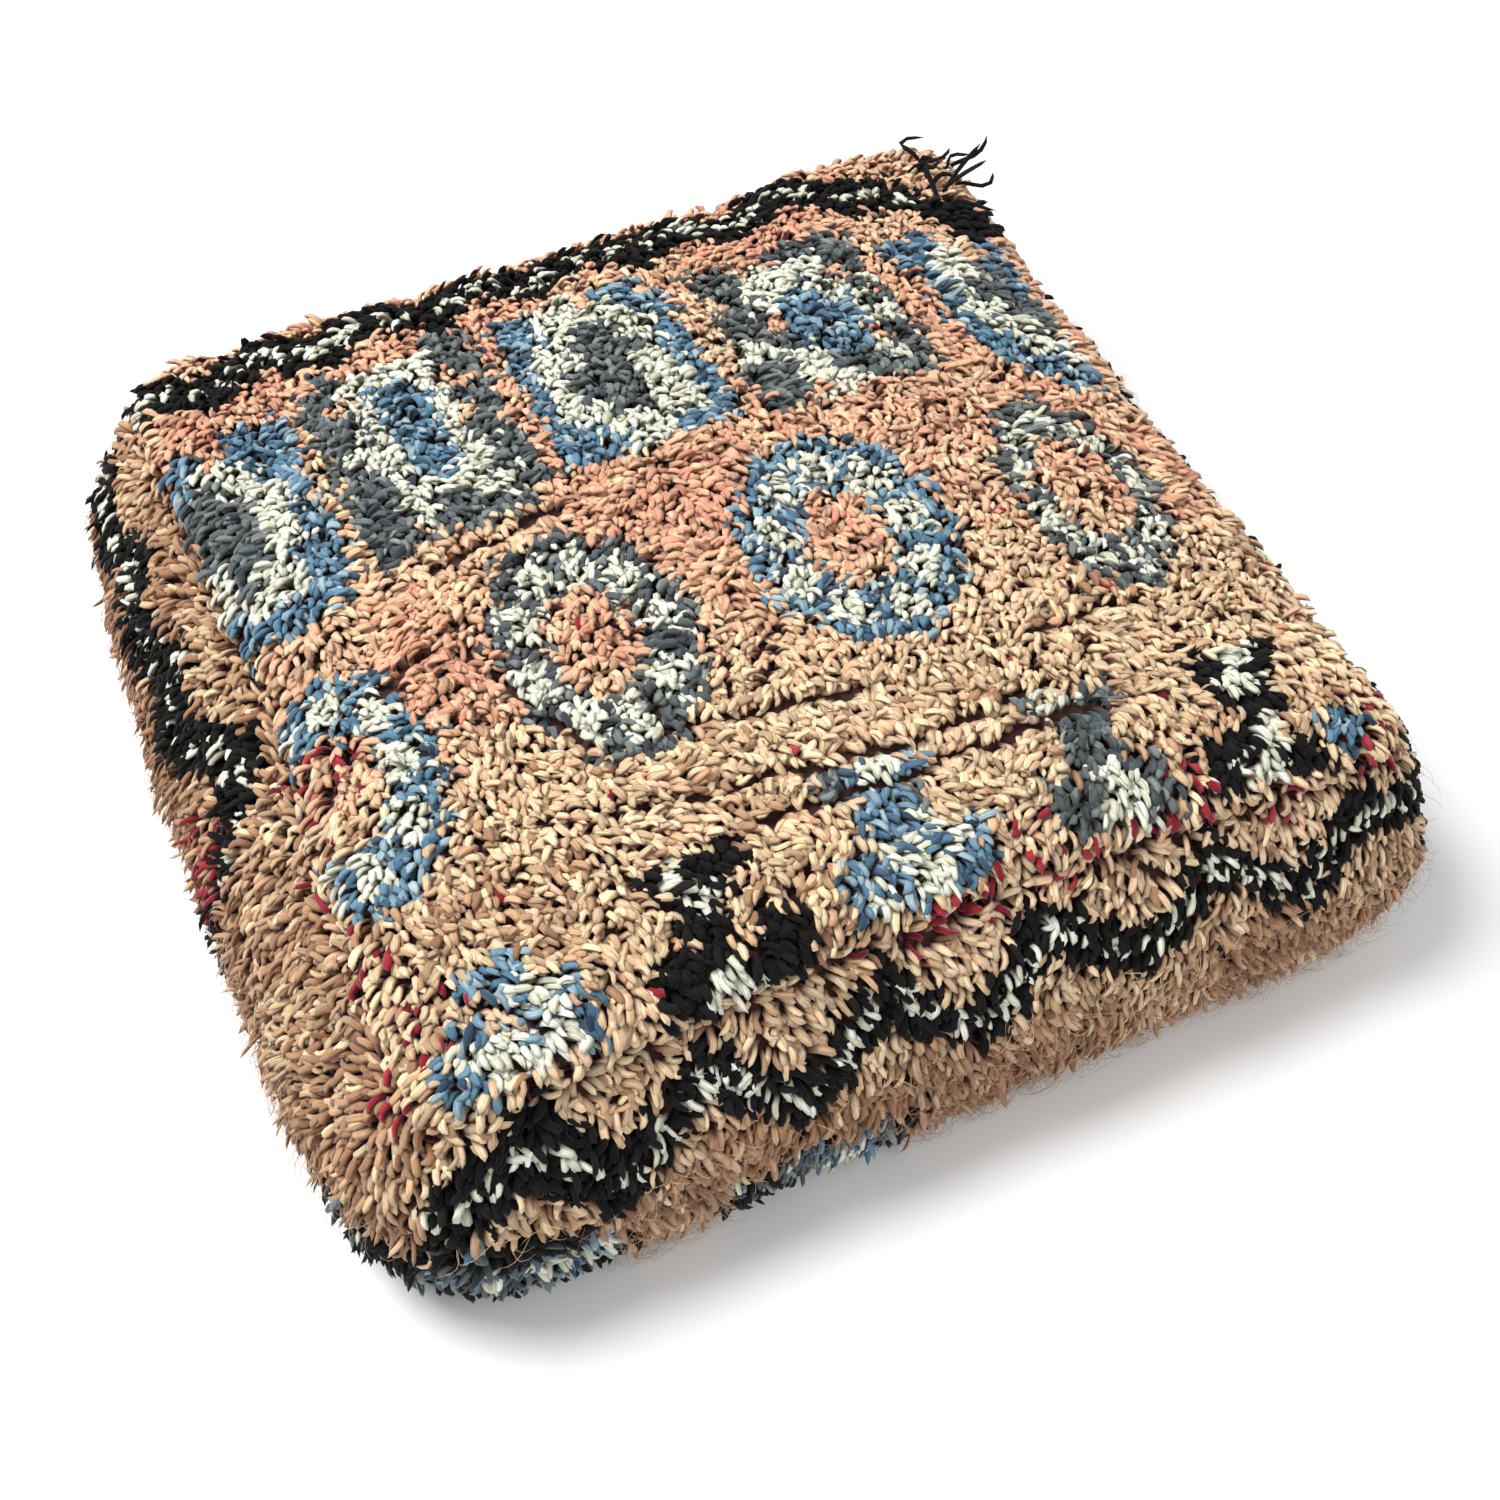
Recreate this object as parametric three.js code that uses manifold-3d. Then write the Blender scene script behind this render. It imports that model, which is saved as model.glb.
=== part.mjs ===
// A square floor cushion: a boxed cover of knotted-pile rug with a cotton base that zips open,
// around a sewn inner case full of stuffing. Millimetres, +Z up, the front panel faces -Y.
// The origin is on the floor, under the middle of the cushion.

import * as THREE from "three";
import { mergeVertices } from "three/addons/utils/BufferGeometryUtils.js";
import Module from "manifold-3d";

const wasm = await Module();
wasm.setup();

// Driving dimensions of the filled cushion.
const HALF_LENGTH = 274; // half of the plan along X at the seams, before the sides swell
const HALF_WIDTH = 274; // the same along Y
const CORNER_RADIUS = 42;
const SEAM_HEIGHT = 160; // the seam between the top panel and the side panels
const CROWN = 38; // how far the middle of the top panel stands above that seam
const CROWN_POWER = 0.36; // lower is flatter on top and steeper beside the seam
const SIDE_BULGE = 28; // the side panels stand out this far at every corner
const SIDE_SWELL = 7; // and this much more in the middle of a side
const WAIST = 12; // the top seam pulls in this far between two corners
const FOOT_OFFSET = 6; // the bottom seam stands out this far
const RUG_FOOT = 1; // lowest point of the rug panels

const RUG_THICKNESS = 18; // ground weave and knotted pile together
const SEAM_GAP = 4; // space between two sewn rug edges, which the thread runs in
const THREAD_RADIUS = 1.1;
const CLOTH = 1.6; // cotton canvas of the base
const CASE_CLOTH = 1.2; // cotton of the inner case
const CLEAR = 0.4; // space between pieces that touch
const CASE_DEPTH = RUG_THICKNESS + 2;
const CASE_FLOOR = CLOTH + 0.6;
const ARCH_HEIGHT = 17; // the case's floor arches this high over the zip
const ARCH_HALF_WIDTH = 80;
const STUFFING_EASE = 3;

// The zip lies along X in a shallow valley of the base.
const VALLEY_DEPTH = 9;
const VALLEY_HALF_WIDTH = 42;
const VALLEY_HALF_LENGTH = 216;
const VALLEY_RUN_OUT = 26;
const SLOT_HALF_WIDTH = 6.4;
const CHAIN_HALF_LENGTH = 196;
const CHAIN_GAP = 0.8; // half of the slit that the slider's wedge runs in
const TOOTH_LENGTH = 2.6;
const TOOTH_PITCH = 6;
const TOOTH_WIDTH = 3.4;
const CHAIN_LOW = 10;
const CHAIN_HIGH = 12.2;
const TAPE_THICKNESS = 0.8;
const TAPE_WIDTH = 13;
const SLIDER_LENGTH = 13;
const SLIDER_WIDTH = 9.4;
const PLATE = 1;
const STOP_LENGTH = 3;
const PULL_LENGTH = 24;
const PULL_WIDTH = 7;
const PULL_THICKNESS = 1;

// Steps of the meshes: along a side, down a side, and round a thread.
const SIDE_STEPS = 16;
const DROP_STEPS = 6;
const THREAD_SIDES = 6;

const COLOURS = {
  pile: 0xd0a27e,
  canvas: 0xcdbfa4,
  cotton: 0xe9e3d6,
  stuffing: 0xf3f1ea,
  thread: 0x8a2230,
  tape: 0xb8a88c,
  chain: 0xc9bda6,
  metal: 0xb9a06a,
};

const group = new THREE.Group();

function addMesh(name, geometry, colour, roughness = 0.9, metalness = 0) {
  const material = new THREE.MeshStandardMaterial({ color: colour, roughness, metalness });
  const mesh = new THREE.Mesh(geometry, material);
  mesh.name = name;
  group.add(mesh);
  return mesh;
}

// ---- meshes from grids of points ----

function weld(positions) {
  const geometry = new THREE.BufferGeometry();
  geometry.setAttribute("position", new THREE.Float32BufferAttribute(positions, 3));
  const merged = mergeVertices(geometry, 1e-3);
  merged.computeVertexNormals();
  return merged;
}

function pushTriangle(out, a, b, c) {
  out.push(a.x, a.y, a.z, b.x, b.y, b.z, c.x, c.y, c.z);
}

function pushQuad(out, a, b, c, d) {
  pushTriangle(out, a, b, c);
  pushTriangle(out, a, c, d);
}

// One side of a sheet: rows and columns of points, seen anticlockwise from outside unless flipped.
function pushGrid(out, point, columns, rows, flipped = false) {
  for (let i = 0; i < columns; i += 1) {
    for (let j = 0; j < rows; j += 1) {
      const corners = [point(i, j), point(i + 1, j), point(i + 1, j + 1), point(i, j + 1)];
      if (flipped) corners.reverse();
      pushQuad(out, ...corners);
    }
  }
}

// A closed slab between an outer and an inner grid. A ring closes on itself along its columns.
function slab(outer, inner, columns, rows, ring = false) {
  const out = [];
  pushGrid(out, outer, columns, rows);
  pushGrid(out, inner, columns, rows, true);
  for (let i = 0; i < columns; i += 1) {
    pushQuad(out, outer(i + 1, 0), outer(i, 0), inner(i, 0), inner(i + 1, 0));
    pushQuad(out, outer(i, rows), outer(i + 1, rows), inner(i + 1, rows), inner(i, rows));
  }
  if (!ring) {
    for (let j = 0; j < rows; j += 1) {
      pushQuad(out, outer(0, j), outer(0, j + 1), inner(0, j + 1), inner(0, j));
      pushQuad(out, outer(columns, j + 1), outer(columns, j), inner(columns, j), inner(columns, j + 1));
    }
  }
  return weld(out);
}

// ---- the cushion's form, as nested surfaces a given depth below the tips of the pile ----

// The edges of two neighbouring panels meet on a mitre, half a seam gap to each side of it.
const HALF_GAP = SEAM_GAP / 2;
const TOP_INSET = HALF_GAP * Math.SQRT2;

const SIDES = ["front", "right", "back", "left"];

// A side runs from s = -1 to 1, between the middles of two rounded corners, anticlockwise from above.
function planPoint(side, s, halfLength, halfWidth, radius) {
  const turn = side * Math.PI / 2;
  const halfAlong = side % 2 === 0 ? halfLength : halfWidth;
  const halfOut = side % 2 === 0 ? halfWidth : halfLength;
  const arc = radius * Math.PI / 4;
  const straight = halfAlong - radius;
  const run = Math.abs(s) * (arc + straight);
  let along = run;
  let out = halfOut;
  if (run > straight) {
    const angle = (run - straight) / radius;
    along = straight + radius * Math.sin(angle);
    out = halfOut - radius * (1 - Math.cos(angle));
  }
  along *= Math.sign(s);
  const local = new THREE.Vector3(along, -out, 0);
  return local.applyAxisAngle(new THREE.Vector3(0, 0, 1), turn);
}

function sideNormal(side) {
  return new THREE.Vector3(0, -1, 0).applyAxisAngle(new THREE.Vector3(0, 0, 1), side * Math.PI / 2);
}

// A point of a side surface: t runs down from the top seam (0) to the bottom seam (1).
function sidePoint(side, s, t, depth, footHeight = RUG_FOOT) {
  const swell = Math.sin(Math.PI * Math.min(t * 0.92, 1));
  const middle = 1 - s * s;
  const offset = SIDE_BULGE * swell + FOOT_OFFSET * t * t - depth;
  const point = planPoint(side, s, HALF_LENGTH + offset, HALF_WIDTH + offset, CORNER_RADIUS + offset);
  const push = middle * (SIDE_SWELL * swell - WAIST * (1 - t) * (1 - t));
  point.addScaledVector(sideNormal(side), push);
  point.z = (SEAM_HEIGHT - depth) * (1 - t) + footHeight * t;
  return point;
}

// A point of a patch bounded by the four side curves at one height: u and v run from -1 to 1.
function patchPoint(u, v, edge) {
  const a = (u + 1) / 2;
  const b = (v + 1) / 2;
  const front = edge(0, u);
  const right = edge(1, v);
  const back = edge(2, -u);
  const left = edge(3, -v);
  const corner = [edge(0, -1), edge(0, 1), edge(2, -1), edge(2, 1)];
  const point = new THREE.Vector3();
  point.addScaledVector(front, 1 - b).addScaledVector(back, b);
  point.addScaledVector(left, 1 - a).addScaledVector(right, a);
  point.addScaledVector(corner[0], -(1 - a) * (1 - b)).addScaledVector(corner[1], -a * (1 - b));
  point.addScaledVector(corner[2], -a * b).addScaledVector(corner[3], -(1 - a) * b);
  return point;
}

function topPoint(u, v, depth, inset = TOP_INSET) {
  const point = patchPoint(u, v, (side, s) => sidePoint(side, s, 0, depth + inset));
  const rise = Math.max((1 - u * u) * (1 - v * v), 0) ** CROWN_POWER;
  point.z = SEAM_HEIGHT - depth + CROWN * rise;
  return point;
}

// Steps along a side crowd towards the rounded corners.
function sideStep(i, shrink = 1) {
  return shrink * Math.sin(Math.PI * (i / SIDE_STEPS - 0.5));
}

// A step round the whole perimeter, as a side and a place along it.
function ringPlace(i) {
  const side = Math.floor(i / SIDE_STEPS) % 4;
  return [side, sideStep(i % SIDE_STEPS)];
}

// ---- rug panels ----

const SIDE_RUN = HALF_WIDTH - CORNER_RADIUS + CORNER_RADIUS * Math.PI / 4;
const CORNER_SHRINK = 1 - HALF_GAP * 1.6 / SIDE_RUN;
const TOP_GAP_SHARE = HALF_GAP * 1.3 / SEAM_HEIGHT;

function rugTopPanel() {
  const face = (depth) => (i, j) => topPoint(sideStep(i), sideStep(j), depth);
  addMesh("rug_top_panel", slab(face(0), face(RUG_THICKNESS), SIDE_STEPS, SIDE_STEPS), COLOURS.pile);
}

function rugSidePanel(side) {
  const face = (depth) => (i, j) => {
    const t = TOP_GAP_SHARE + (1 - TOP_GAP_SHARE) * (1 - j / DROP_STEPS);
    return sidePoint(side, sideStep(i, CORNER_SHRINK), t, depth);
  };
  const geometry = slab(face(0), face(RUG_THICKNESS), SIDE_STEPS, DROP_STEPS);
  addMesh(`rug_${SIDES[side]}_panel`, geometry, COLOURS.pile);
}

// ---- seam threads ----

function threadOffset(j) {
  const angle = 2 * Math.PI * (j % THREAD_SIDES) / THREAD_SIDES;
  return [THREAD_RADIUS * Math.cos(angle), THREAD_RADIUS * Math.sin(angle)];
}

// A thread that runs round a whole seam: point gives its place at a depth on one side.
function perimeterThread(name, depth, point) {
  const out = [];
  const surface = (i, j) => {
    const [side, s] = ringPlace(i);
    const [across, up] = threadOffset(j);
    const place = point(side, s, depth - across);
    place.z += up;
    return place;
  };
  pushGrid(out, surface, 4 * SIDE_STEPS, THREAD_SIDES);
  addMesh(name, weld(out), COLOURS.thread);
}

// The upright thread at the start of a side, between this panel and its neighbour.
function cornerThread(side) {
  const out = [];
  const start = TOP_GAP_SHARE * 3;
  const end = 0.95;
  const outward = planPoint(side, -1, HALF_LENGTH, HALF_WIDTH, CORNER_RADIUS).normalize();
  const along = new THREE.Vector3(-outward.y, outward.x, 0);
  const surface = (i, j) => {
    const [across, beside] = threadOffset(j);
    const place = sidePoint(side, -1, start + (end - start) * i / DROP_STEPS, RUG_THICKNESS / 2);
    return place.addScaledVector(outward, across).addScaledVector(along, beside);
  };
  pushGrid(out, surface, DROP_STEPS, THREAD_SIDES);
  for (let j = 1; j < THREAD_SIDES - 1; j += 1) {
    pushTriangle(out, surface(0, 0), surface(0, j), surface(0, j + 1));
    pushTriangle(out, surface(DROP_STEPS, 0), surface(DROP_STEPS, j + 1), surface(DROP_STEPS, j));
  }
  const names = `${SIDES[(side + 3) % 4]}_${SIDES[side]}`;
  addMesh(`corner_seam_thread_${names}`, weld(out), COLOURS.thread);
}

// ---- cotton base in two halves, with the zip's slot between them ----

function smooth(x) {
  const t = Math.min(Math.max(x, 0), 1);
  return t * t * (3 - 2 * t);
}

function valleyHeight(x, y) {
  const along = smooth((VALLEY_HALF_LENGTH + VALLEY_RUN_OUT - Math.abs(x)) / VALLEY_RUN_OUT);
  const across = smooth((VALLEY_HALF_WIDTH - Math.abs(y)) / (VALLEY_HALF_WIDTH - SLOT_HALF_WIDTH));
  return VALLEY_DEPTH * along * across;
}

function slotEdge(x) {
  const open = smooth((VALLEY_HALF_LENGTH + VALLEY_RUN_OUT / 2 - Math.abs(x)) / (VALLEY_RUN_OUT / 2));
  return CLEAR / 2 + (SLOT_HALF_WIDTH - CLEAR / 2) * open;
}

const BASE_DEPTH = RUG_THICKNESS + 2 * THREAD_RADIUS + 3 * CLEAR;

// sign is -1 for the front half and 1 for the back half. Rows run from the slot to the outer edge.
function baseHalf(sign) {
  const columns = 26;
  const rows = 9;
  const edgeSide = sign < 0 ? 0 : 2;
  const reach = sidePoint(1, 0, 1, BASE_DEPTH).x;
  const rowShare = (j) => (j / rows) ** 1.7;
  const point = (lift) => (i, j) => {
    const s = Math.sin(Math.PI * (i / columns - 0.5));
    const outer = sidePoint(edgeSide, sign < 0 ? s : -s, 1, BASE_DEPTH);
    const inner = new THREE.Vector3(s * (reach - CLEAR), 0, 0);
    inner.y = sign * slotEdge(inner.x);
    const place = inner.lerp(outer, rowShare(j));
    place.z = valleyHeight(place.x, place.y) + lift;
    return place;
  };
  const upper = point(CLOTH);
  const lower = point(0);
  const geometry = sign < 0 ? slab(lower, upper, columns, rows) : slab(upper, lower, columns, rows);
  addMesh(sign < 0 ? "base_cloth_front" : "base_cloth_back", geometry, COLOURS.canvas);
}

// ---- inner case and stuffing ----

// The case's floor arches over the zip.
function caseFloor(x, y, lift) {
  const along = smooth((VALLEY_HALF_LENGTH + VALLEY_RUN_OUT - Math.abs(x)) / VALLEY_RUN_OUT);
  const across = smooth(1 - Math.abs(y) / ARCH_HALF_WIDTH);
  return CASE_FLOOR + ARCH_HEIGHT * along * across + lift;
}

function floorPoint(u, v, depth, lift) {
  const point = patchPoint(u, v, (side, s) => sidePoint(side, s, 1, depth));
  point.z = caseFloor(point.x, point.y, lift);
  return point;
}

function caseTop() {
  const face = (depth) => (i, j) => topPoint(sideStep(i), sideStep(j), depth);
  const geometry = slab(face(CASE_DEPTH), face(CASE_DEPTH + CASE_CLOTH), SIDE_STEPS, SIDE_STEPS);
  addMesh("inner_case_top", geometry, COLOURS.cotton);
}

function caseBoxing() {
  const top = CLEAR / SEAM_HEIGHT;
  const low = 1 - 3 * CLEAR / SEAM_HEIGHT;
  const face = (depth) => (i, j) => {
    const [side, s] = ringPlace(i);
    const t = top + (low - top) * (1 - j / DROP_STEPS);
    return sidePoint(side, s, t, depth, CASE_FLOOR + CASE_CLOTH);
  };
  const geometry = slab(face(CASE_DEPTH), face(CASE_DEPTH + CASE_CLOTH), 4 * SIDE_STEPS, DROP_STEPS, true);
  addMesh("inner_case_boxing", geometry, COLOURS.cotton);
}

function caseBottom() {
  const face = (lift) => (i, j) => floorPoint(sideStep(j), sideStep(i), BASE_DEPTH, lift);
  addMesh("inner_case_bottom", slab(face(0), face(CASE_CLOTH), SIDE_STEPS, SIDE_STEPS), COLOURS.cotton);
}

function stuffing() {
  const depth = CASE_DEPTH + CASE_CLOTH + STUFFING_EASE;
  const floorLift = CASE_CLOTH + STUFFING_EASE;
  const out = [];
  pushGrid(out, (i, j) => topPoint(sideStep(i), sideStep(j), depth, 0), SIDE_STEPS, SIDE_STEPS);
  pushGrid(out, (i, j) => floorPoint(sideStep(i), sideStep(j), depth, floorLift), SIDE_STEPS, SIDE_STEPS, true);
  const wall = (i, j) => {
    const [side, s] = ringPlace(i);
    const point = sidePoint(side, s, 1 - j / DROP_STEPS, depth, CASE_FLOOR + floorLift);
    if (j === 0) point.z = caseFloor(point.x, point.y, floorLift);
    return point;
  };
  pushGrid(out, wall, 4 * SIDE_STEPS, DROP_STEPS);
  addMesh("stuffing", weld(out), COLOURS.stuffing, 1);
}

// ---- zip ----

function box(x0, x1, y0, y1, z0, z1) {
  const geometry = new THREE.BoxGeometry(x1 - x0, y1 - y0, z1 - z0);
  geometry.translate((x0 + x1) / 2, (y0 + y1) / 2, (z0 + z1) / 2);
  return geometry;
}

function toManifold(geometry) {
  const bare = geometry.clone();
  bare.deleteAttribute("normal");
  bare.deleteAttribute("uv");
  const merged = mergeVertices(bare, 1e-4);
  return new wasm.Manifold(new wasm.Mesh({
    numProp: 3,
    vertProperties: new Float32Array(merged.attributes.position.array),
    triVerts: new Uint32Array(merged.index.array),
  }));
}

function fromManifold(solid) {
  const mesh = solid.getMesh();
  const geometry = new THREE.BufferGeometry();
  geometry.setAttribute("position", new THREE.Float32BufferAttribute(mesh.vertProperties, 3));
  geometry.setIndex(new THREE.Uint32BufferAttribute(mesh.triVerts, 1));
  geometry.computeVertexNormals();
  return geometry;
}

function join(geometries) {
  return fromManifold(geometries.map(toManifold).reduce((a, b) => a.add(b)));
}

function cleanExtrude(geometry) {
  geometry.deleteAttribute("normal");
  geometry.deleteAttribute("uv");
  const merged = mergeVertices(geometry, 1e-3);
  merged.computeVertexNormals();
  return merged;
}

// An outline in plan, extruded upwards from z0 to z1.
function plate(outline, z0, z1) {
  const geometry = new THREE.ExtrudeGeometry(outline, { depth: z1 - z0, bevelEnabled: false, curveSegments: 5 });
  geometry.translate(0, 0, z0);
  return geometry;
}

function zipChain(sign) {
  const inner = sign * CHAIN_GAP;
  const outer = sign * (CHAIN_GAP + TOOTH_LENGTH);
  const spine = sign * (CHAIN_GAP + TOOTH_LENGTH * 0.55);
  const outline = new THREE.Shape();
  outline.moveTo(-CHAIN_HALF_LENGTH, outer);
  for (let x = -CHAIN_HALF_LENGTH; x < CHAIN_HALF_LENGTH - TOOTH_WIDTH; x += TOOTH_PITCH) {
    outline.lineTo(x, spine);
    outline.lineTo(x + (TOOTH_PITCH - TOOTH_WIDTH) / 2, inner);
    outline.lineTo(x + (TOOTH_PITCH + TOOTH_WIDTH) / 2, inner);
  }
  outline.lineTo(CHAIN_HALF_LENGTH, spine);
  outline.lineTo(CHAIN_HALF_LENGTH, outer);
  outline.closePath();
  const name = sign < 0 ? "zip_chain_front" : "zip_chain_back";
  addMesh(name, cleanExtrude(plate(outline, CHAIN_LOW, CHAIN_HIGH)), COLOURS.chain, 0.5);
}

const TAPE_EDGE = CHAIN_GAP + TOOTH_LENGTH + CLEAR;
const TAPE_LOW = VALLEY_DEPTH + CLOTH + CLEAR;
const TAPE_HALF_LENGTH = VALLEY_HALF_LENGTH - 4;

function zipTape(sign) {
  const near = sign * TAPE_EDGE;
  const far = sign * (TAPE_EDGE + TAPE_WIDTH);
  const name = sign < 0 ? "zip_tape_front" : "zip_tape_back";
  const low = Math.min(near, far);
  const high = Math.max(near, far);
  const reach = TAPE_HALF_LENGTH;
  const geometry = box(-reach, reach, low, high, TAPE_LOW, TAPE_LOW + TAPE_THICKNESS);
  addMesh(name, geometry, COLOURS.tape);
}

// A stop is a small clip across both tapes' edges, past the end of the chain.
function zipStop(name, x) {
  const half = TAPE_EDGE - CLEAR;
  addMesh(name, box(x, x + STOP_LENGTH, -half, half, CHAIN_LOW, CHAIN_HIGH), COLOURS.metal, 0.35, 0.9);
}

const OUTER_PLATE_TOP = CHAIN_LOW - 0.6;
const OUTER_PLATE_LOW = OUTER_PLATE_TOP - PLATE;
const INNER_PLATE_LOW = CHAIN_HIGH + 0.5;
const SLIDER_REST = CHAIN_HALF_LENGTH - SLIDER_LENGTH / 2 - 1;
const BAIL_HALF = 3.6;
const BAIL_BAR = 1.1;
const BAIL_HALF_THICKNESS = 0.8;
const WINDOW_HEIGHT = 1.9;
const PULL_AXIS_Z = OUTER_PLATE_LOW - WINDOW_HEIGHT / 2;

function sliderPlate(x, z0, z1) {
  const nose = SLIDER_WIDTH * 0.36;
  const half = SLIDER_LENGTH / 2;
  const wide = SLIDER_WIDTH / 2;
  const outline = new THREE.Shape();
  outline.moveTo(x - half, -nose);
  outline.quadraticCurveTo(x - half * 0.2, -nose, x + half * 0.4, -wide);
  outline.lineTo(x + half, -wide);
  outline.lineTo(x + half, wide);
  outline.lineTo(x + half * 0.4, wide);
  outline.quadraticCurveTo(x - half * 0.2, nose, x - half, nose);
  outline.closePath();
  return plate(outline, z0, z1);
}

function zipSlider() {
  const x = SLIDER_REST;
  const half = SLIDER_LENGTH / 2;
  const overlap = 0.2;
  const flangeTop = CHAIN_LOW + 0.4;
  const flangeInner = TAPE_EDGE + 0.1;
  const bailLow = OUTER_PLATE_LOW - WINDOW_HEIGHT - BAIL_BAR;
  const parts = [
    sliderPlate(x, OUTER_PLATE_LOW, OUTER_PLATE_TOP),
    sliderPlate(x, INNER_PLATE_LOW, INNER_PLATE_LOW + PLATE),
    box(x + 1, x + half - 1.5, -CHAIN_GAP + 0.3, CHAIN_GAP - 0.3,
      OUTER_PLATE_TOP - overlap, INNER_PLATE_LOW + overlap),
    box(x - BAIL_HALF, x + BAIL_HALF, -BAIL_HALF_THICKNESS, BAIL_HALF_THICKNESS,
      bailLow, bailLow + BAIL_BAR),
  ];
  for (const end of [-1, 1]) {
    const from = x + end * (BAIL_HALF - BAIL_BAR / 2);
    parts.push(box(from - BAIL_BAR / 2, from + BAIL_BAR / 2, -BAIL_HALF_THICKNESS, BAIL_HALF_THICKNESS,
      bailLow + overlap, OUTER_PLATE_LOW + overlap));
    const flangeOuter = end * (SLIDER_WIDTH / 2);
    const low = Math.min(end * flangeInner, flangeOuter);
    const high = Math.max(end * flangeInner, flangeOuter);
    parts.push(box(x + half * 0.4, x + half, low, high, OUTER_PLATE_TOP - overlap, flangeTop));
  }
  addMesh("zip_slider", join(parts), COLOURS.metal, 0.35, 0.9);
}

// The pull lies flat under the chain. Its cross bar runs through the slider's bail.
function zipPull() {
  const barHalf = 0.55;
  const x = SLIDER_REST;
  const wide = PULL_WIDTH / 2;
  const outline = new THREE.Shape();
  outline.moveTo(x + barHalf, -wide * 0.7);
  outline.lineTo(x + barHalf, wide * 0.7);
  outline.lineTo(x - PULL_LENGTH * 0.45, wide * 0.8);
  outline.lineTo(x - PULL_LENGTH * 0.8, wide);
  outline.quadraticCurveTo(x - PULL_LENGTH, wide, x - PULL_LENGTH, 0);
  outline.quadraticCurveTo(x - PULL_LENGTH, -wide, x - PULL_LENGTH * 0.8, -wide);
  outline.lineTo(x - PULL_LENGTH * 0.45, -wide * 0.8);
  outline.closePath();
  const eye = new THREE.Path();
  const eyeHalf = BAIL_HALF_THICKNESS + 0.5;
  eye.moveTo(x - barHalf, -eyeHalf);
  eye.lineTo(x - BAIL_HALF - 2.2, -eyeHalf);
  eye.lineTo(x - BAIL_HALF - 2.2, eyeHalf);
  eye.lineTo(x - barHalf, eyeHalf);
  eye.closePath();
  outline.holes.push(eye);
  const low = PULL_AXIS_Z - PULL_THICKNESS / 2;
  addMesh("zip_pull", cleanExtrude(plate(outline, low, low + PULL_THICKNESS)), COLOURS.metal, 0.35, 0.9);
}

// ---- the whole cushion ----

rugTopPanel();
for (let side = 0; side < 4; side += 1) {
  rugSidePanel(side);
  cornerThread(side);
}
perimeterThread("top_seam_thread", RUG_THICKNESS / 2, (side, s, depth) => {
  const place = sidePoint(side, s, 0, depth);
  place.z = SEAM_HEIGHT - RUG_THICKNESS / 2;
  return place;
});
perimeterThread("bottom_seam_thread", RUG_THICKNESS + THREAD_RADIUS + CLEAR, (side, s, depth) => {
  const place = sidePoint(side, s, 1, depth);
  place.z = THREAD_RADIUS + CLEAR;
  return place;
});
for (const sign of [-1, 1]) {
  baseHalf(sign);
  zipTape(sign);
  zipChain(sign);
}
zipStop("zip_top_stop", CHAIN_HALF_LENGTH + CLEAR);
zipStop("zip_bottom_stop", -CHAIN_HALF_LENGTH - CLEAR - STOP_LENGTH);
zipSlider();
zipPull();
caseTop();
caseBoxing();
caseBottom();
stuffing();

export default group;
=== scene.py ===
"""Looks of a square floor cushion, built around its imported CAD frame.

A boxed cover sewn from knotted wool rug, with a cotton base that zips open and a stuffed inner case.
Metres, +Z up, the front panel faces -Y.
"""

import math

import bmesh
import bpy
import numpy as np
from mathutils import Matrix, Vector
from mathutils.geometry import convex_hull_2d


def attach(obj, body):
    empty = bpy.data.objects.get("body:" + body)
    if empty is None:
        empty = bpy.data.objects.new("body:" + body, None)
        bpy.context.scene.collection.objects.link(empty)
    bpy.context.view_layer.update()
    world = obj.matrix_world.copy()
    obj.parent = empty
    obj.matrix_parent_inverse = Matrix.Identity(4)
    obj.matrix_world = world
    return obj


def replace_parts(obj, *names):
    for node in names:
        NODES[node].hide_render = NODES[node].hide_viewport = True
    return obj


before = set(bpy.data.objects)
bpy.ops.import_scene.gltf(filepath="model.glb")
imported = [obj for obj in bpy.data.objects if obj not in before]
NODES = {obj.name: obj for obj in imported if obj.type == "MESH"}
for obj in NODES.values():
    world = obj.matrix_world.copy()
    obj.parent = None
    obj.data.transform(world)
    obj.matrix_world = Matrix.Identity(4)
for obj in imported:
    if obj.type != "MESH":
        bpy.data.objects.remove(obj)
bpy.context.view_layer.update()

# ---- the cushion's form, as surfaces a given depth below the tips of the pile ----

HALF_LENGTH = 0.275
HALF_WIDTH = 0.278
CORNER_RADIUS = 0.042
SEAM_HEIGHT = 0.159
CROWN = 0.038
CROWN_POWER = 0.36  # the lower it is, the fuller the top is towards its edges
SIDE_BULGE = 0.030
SIDE_SWELL = 0.006  # more bulge between the corners than at them
SWELL_RATE = 0.92  # puts the fullest place of a side a little below the middle of its height
WAIST = 0.011  # how far the top seam draws in between the corners
FOOT_OFFSET = 0.006
FOOT_HEIGHT = 0.001

# The left side has slumped: its top seam is drawn in at a fold, and its panel hangs out further.
SLUMP_START = 0.06  # how far left of the middle it begins
SLUMP_LENGTH = 0.20  # how much further on it is complete
LEFT_PINCH = 0.004
PINCH_WIDTH = 0.06
LEFT_SAG = 0.010
LEFT_SWELL = 0.008

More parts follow.
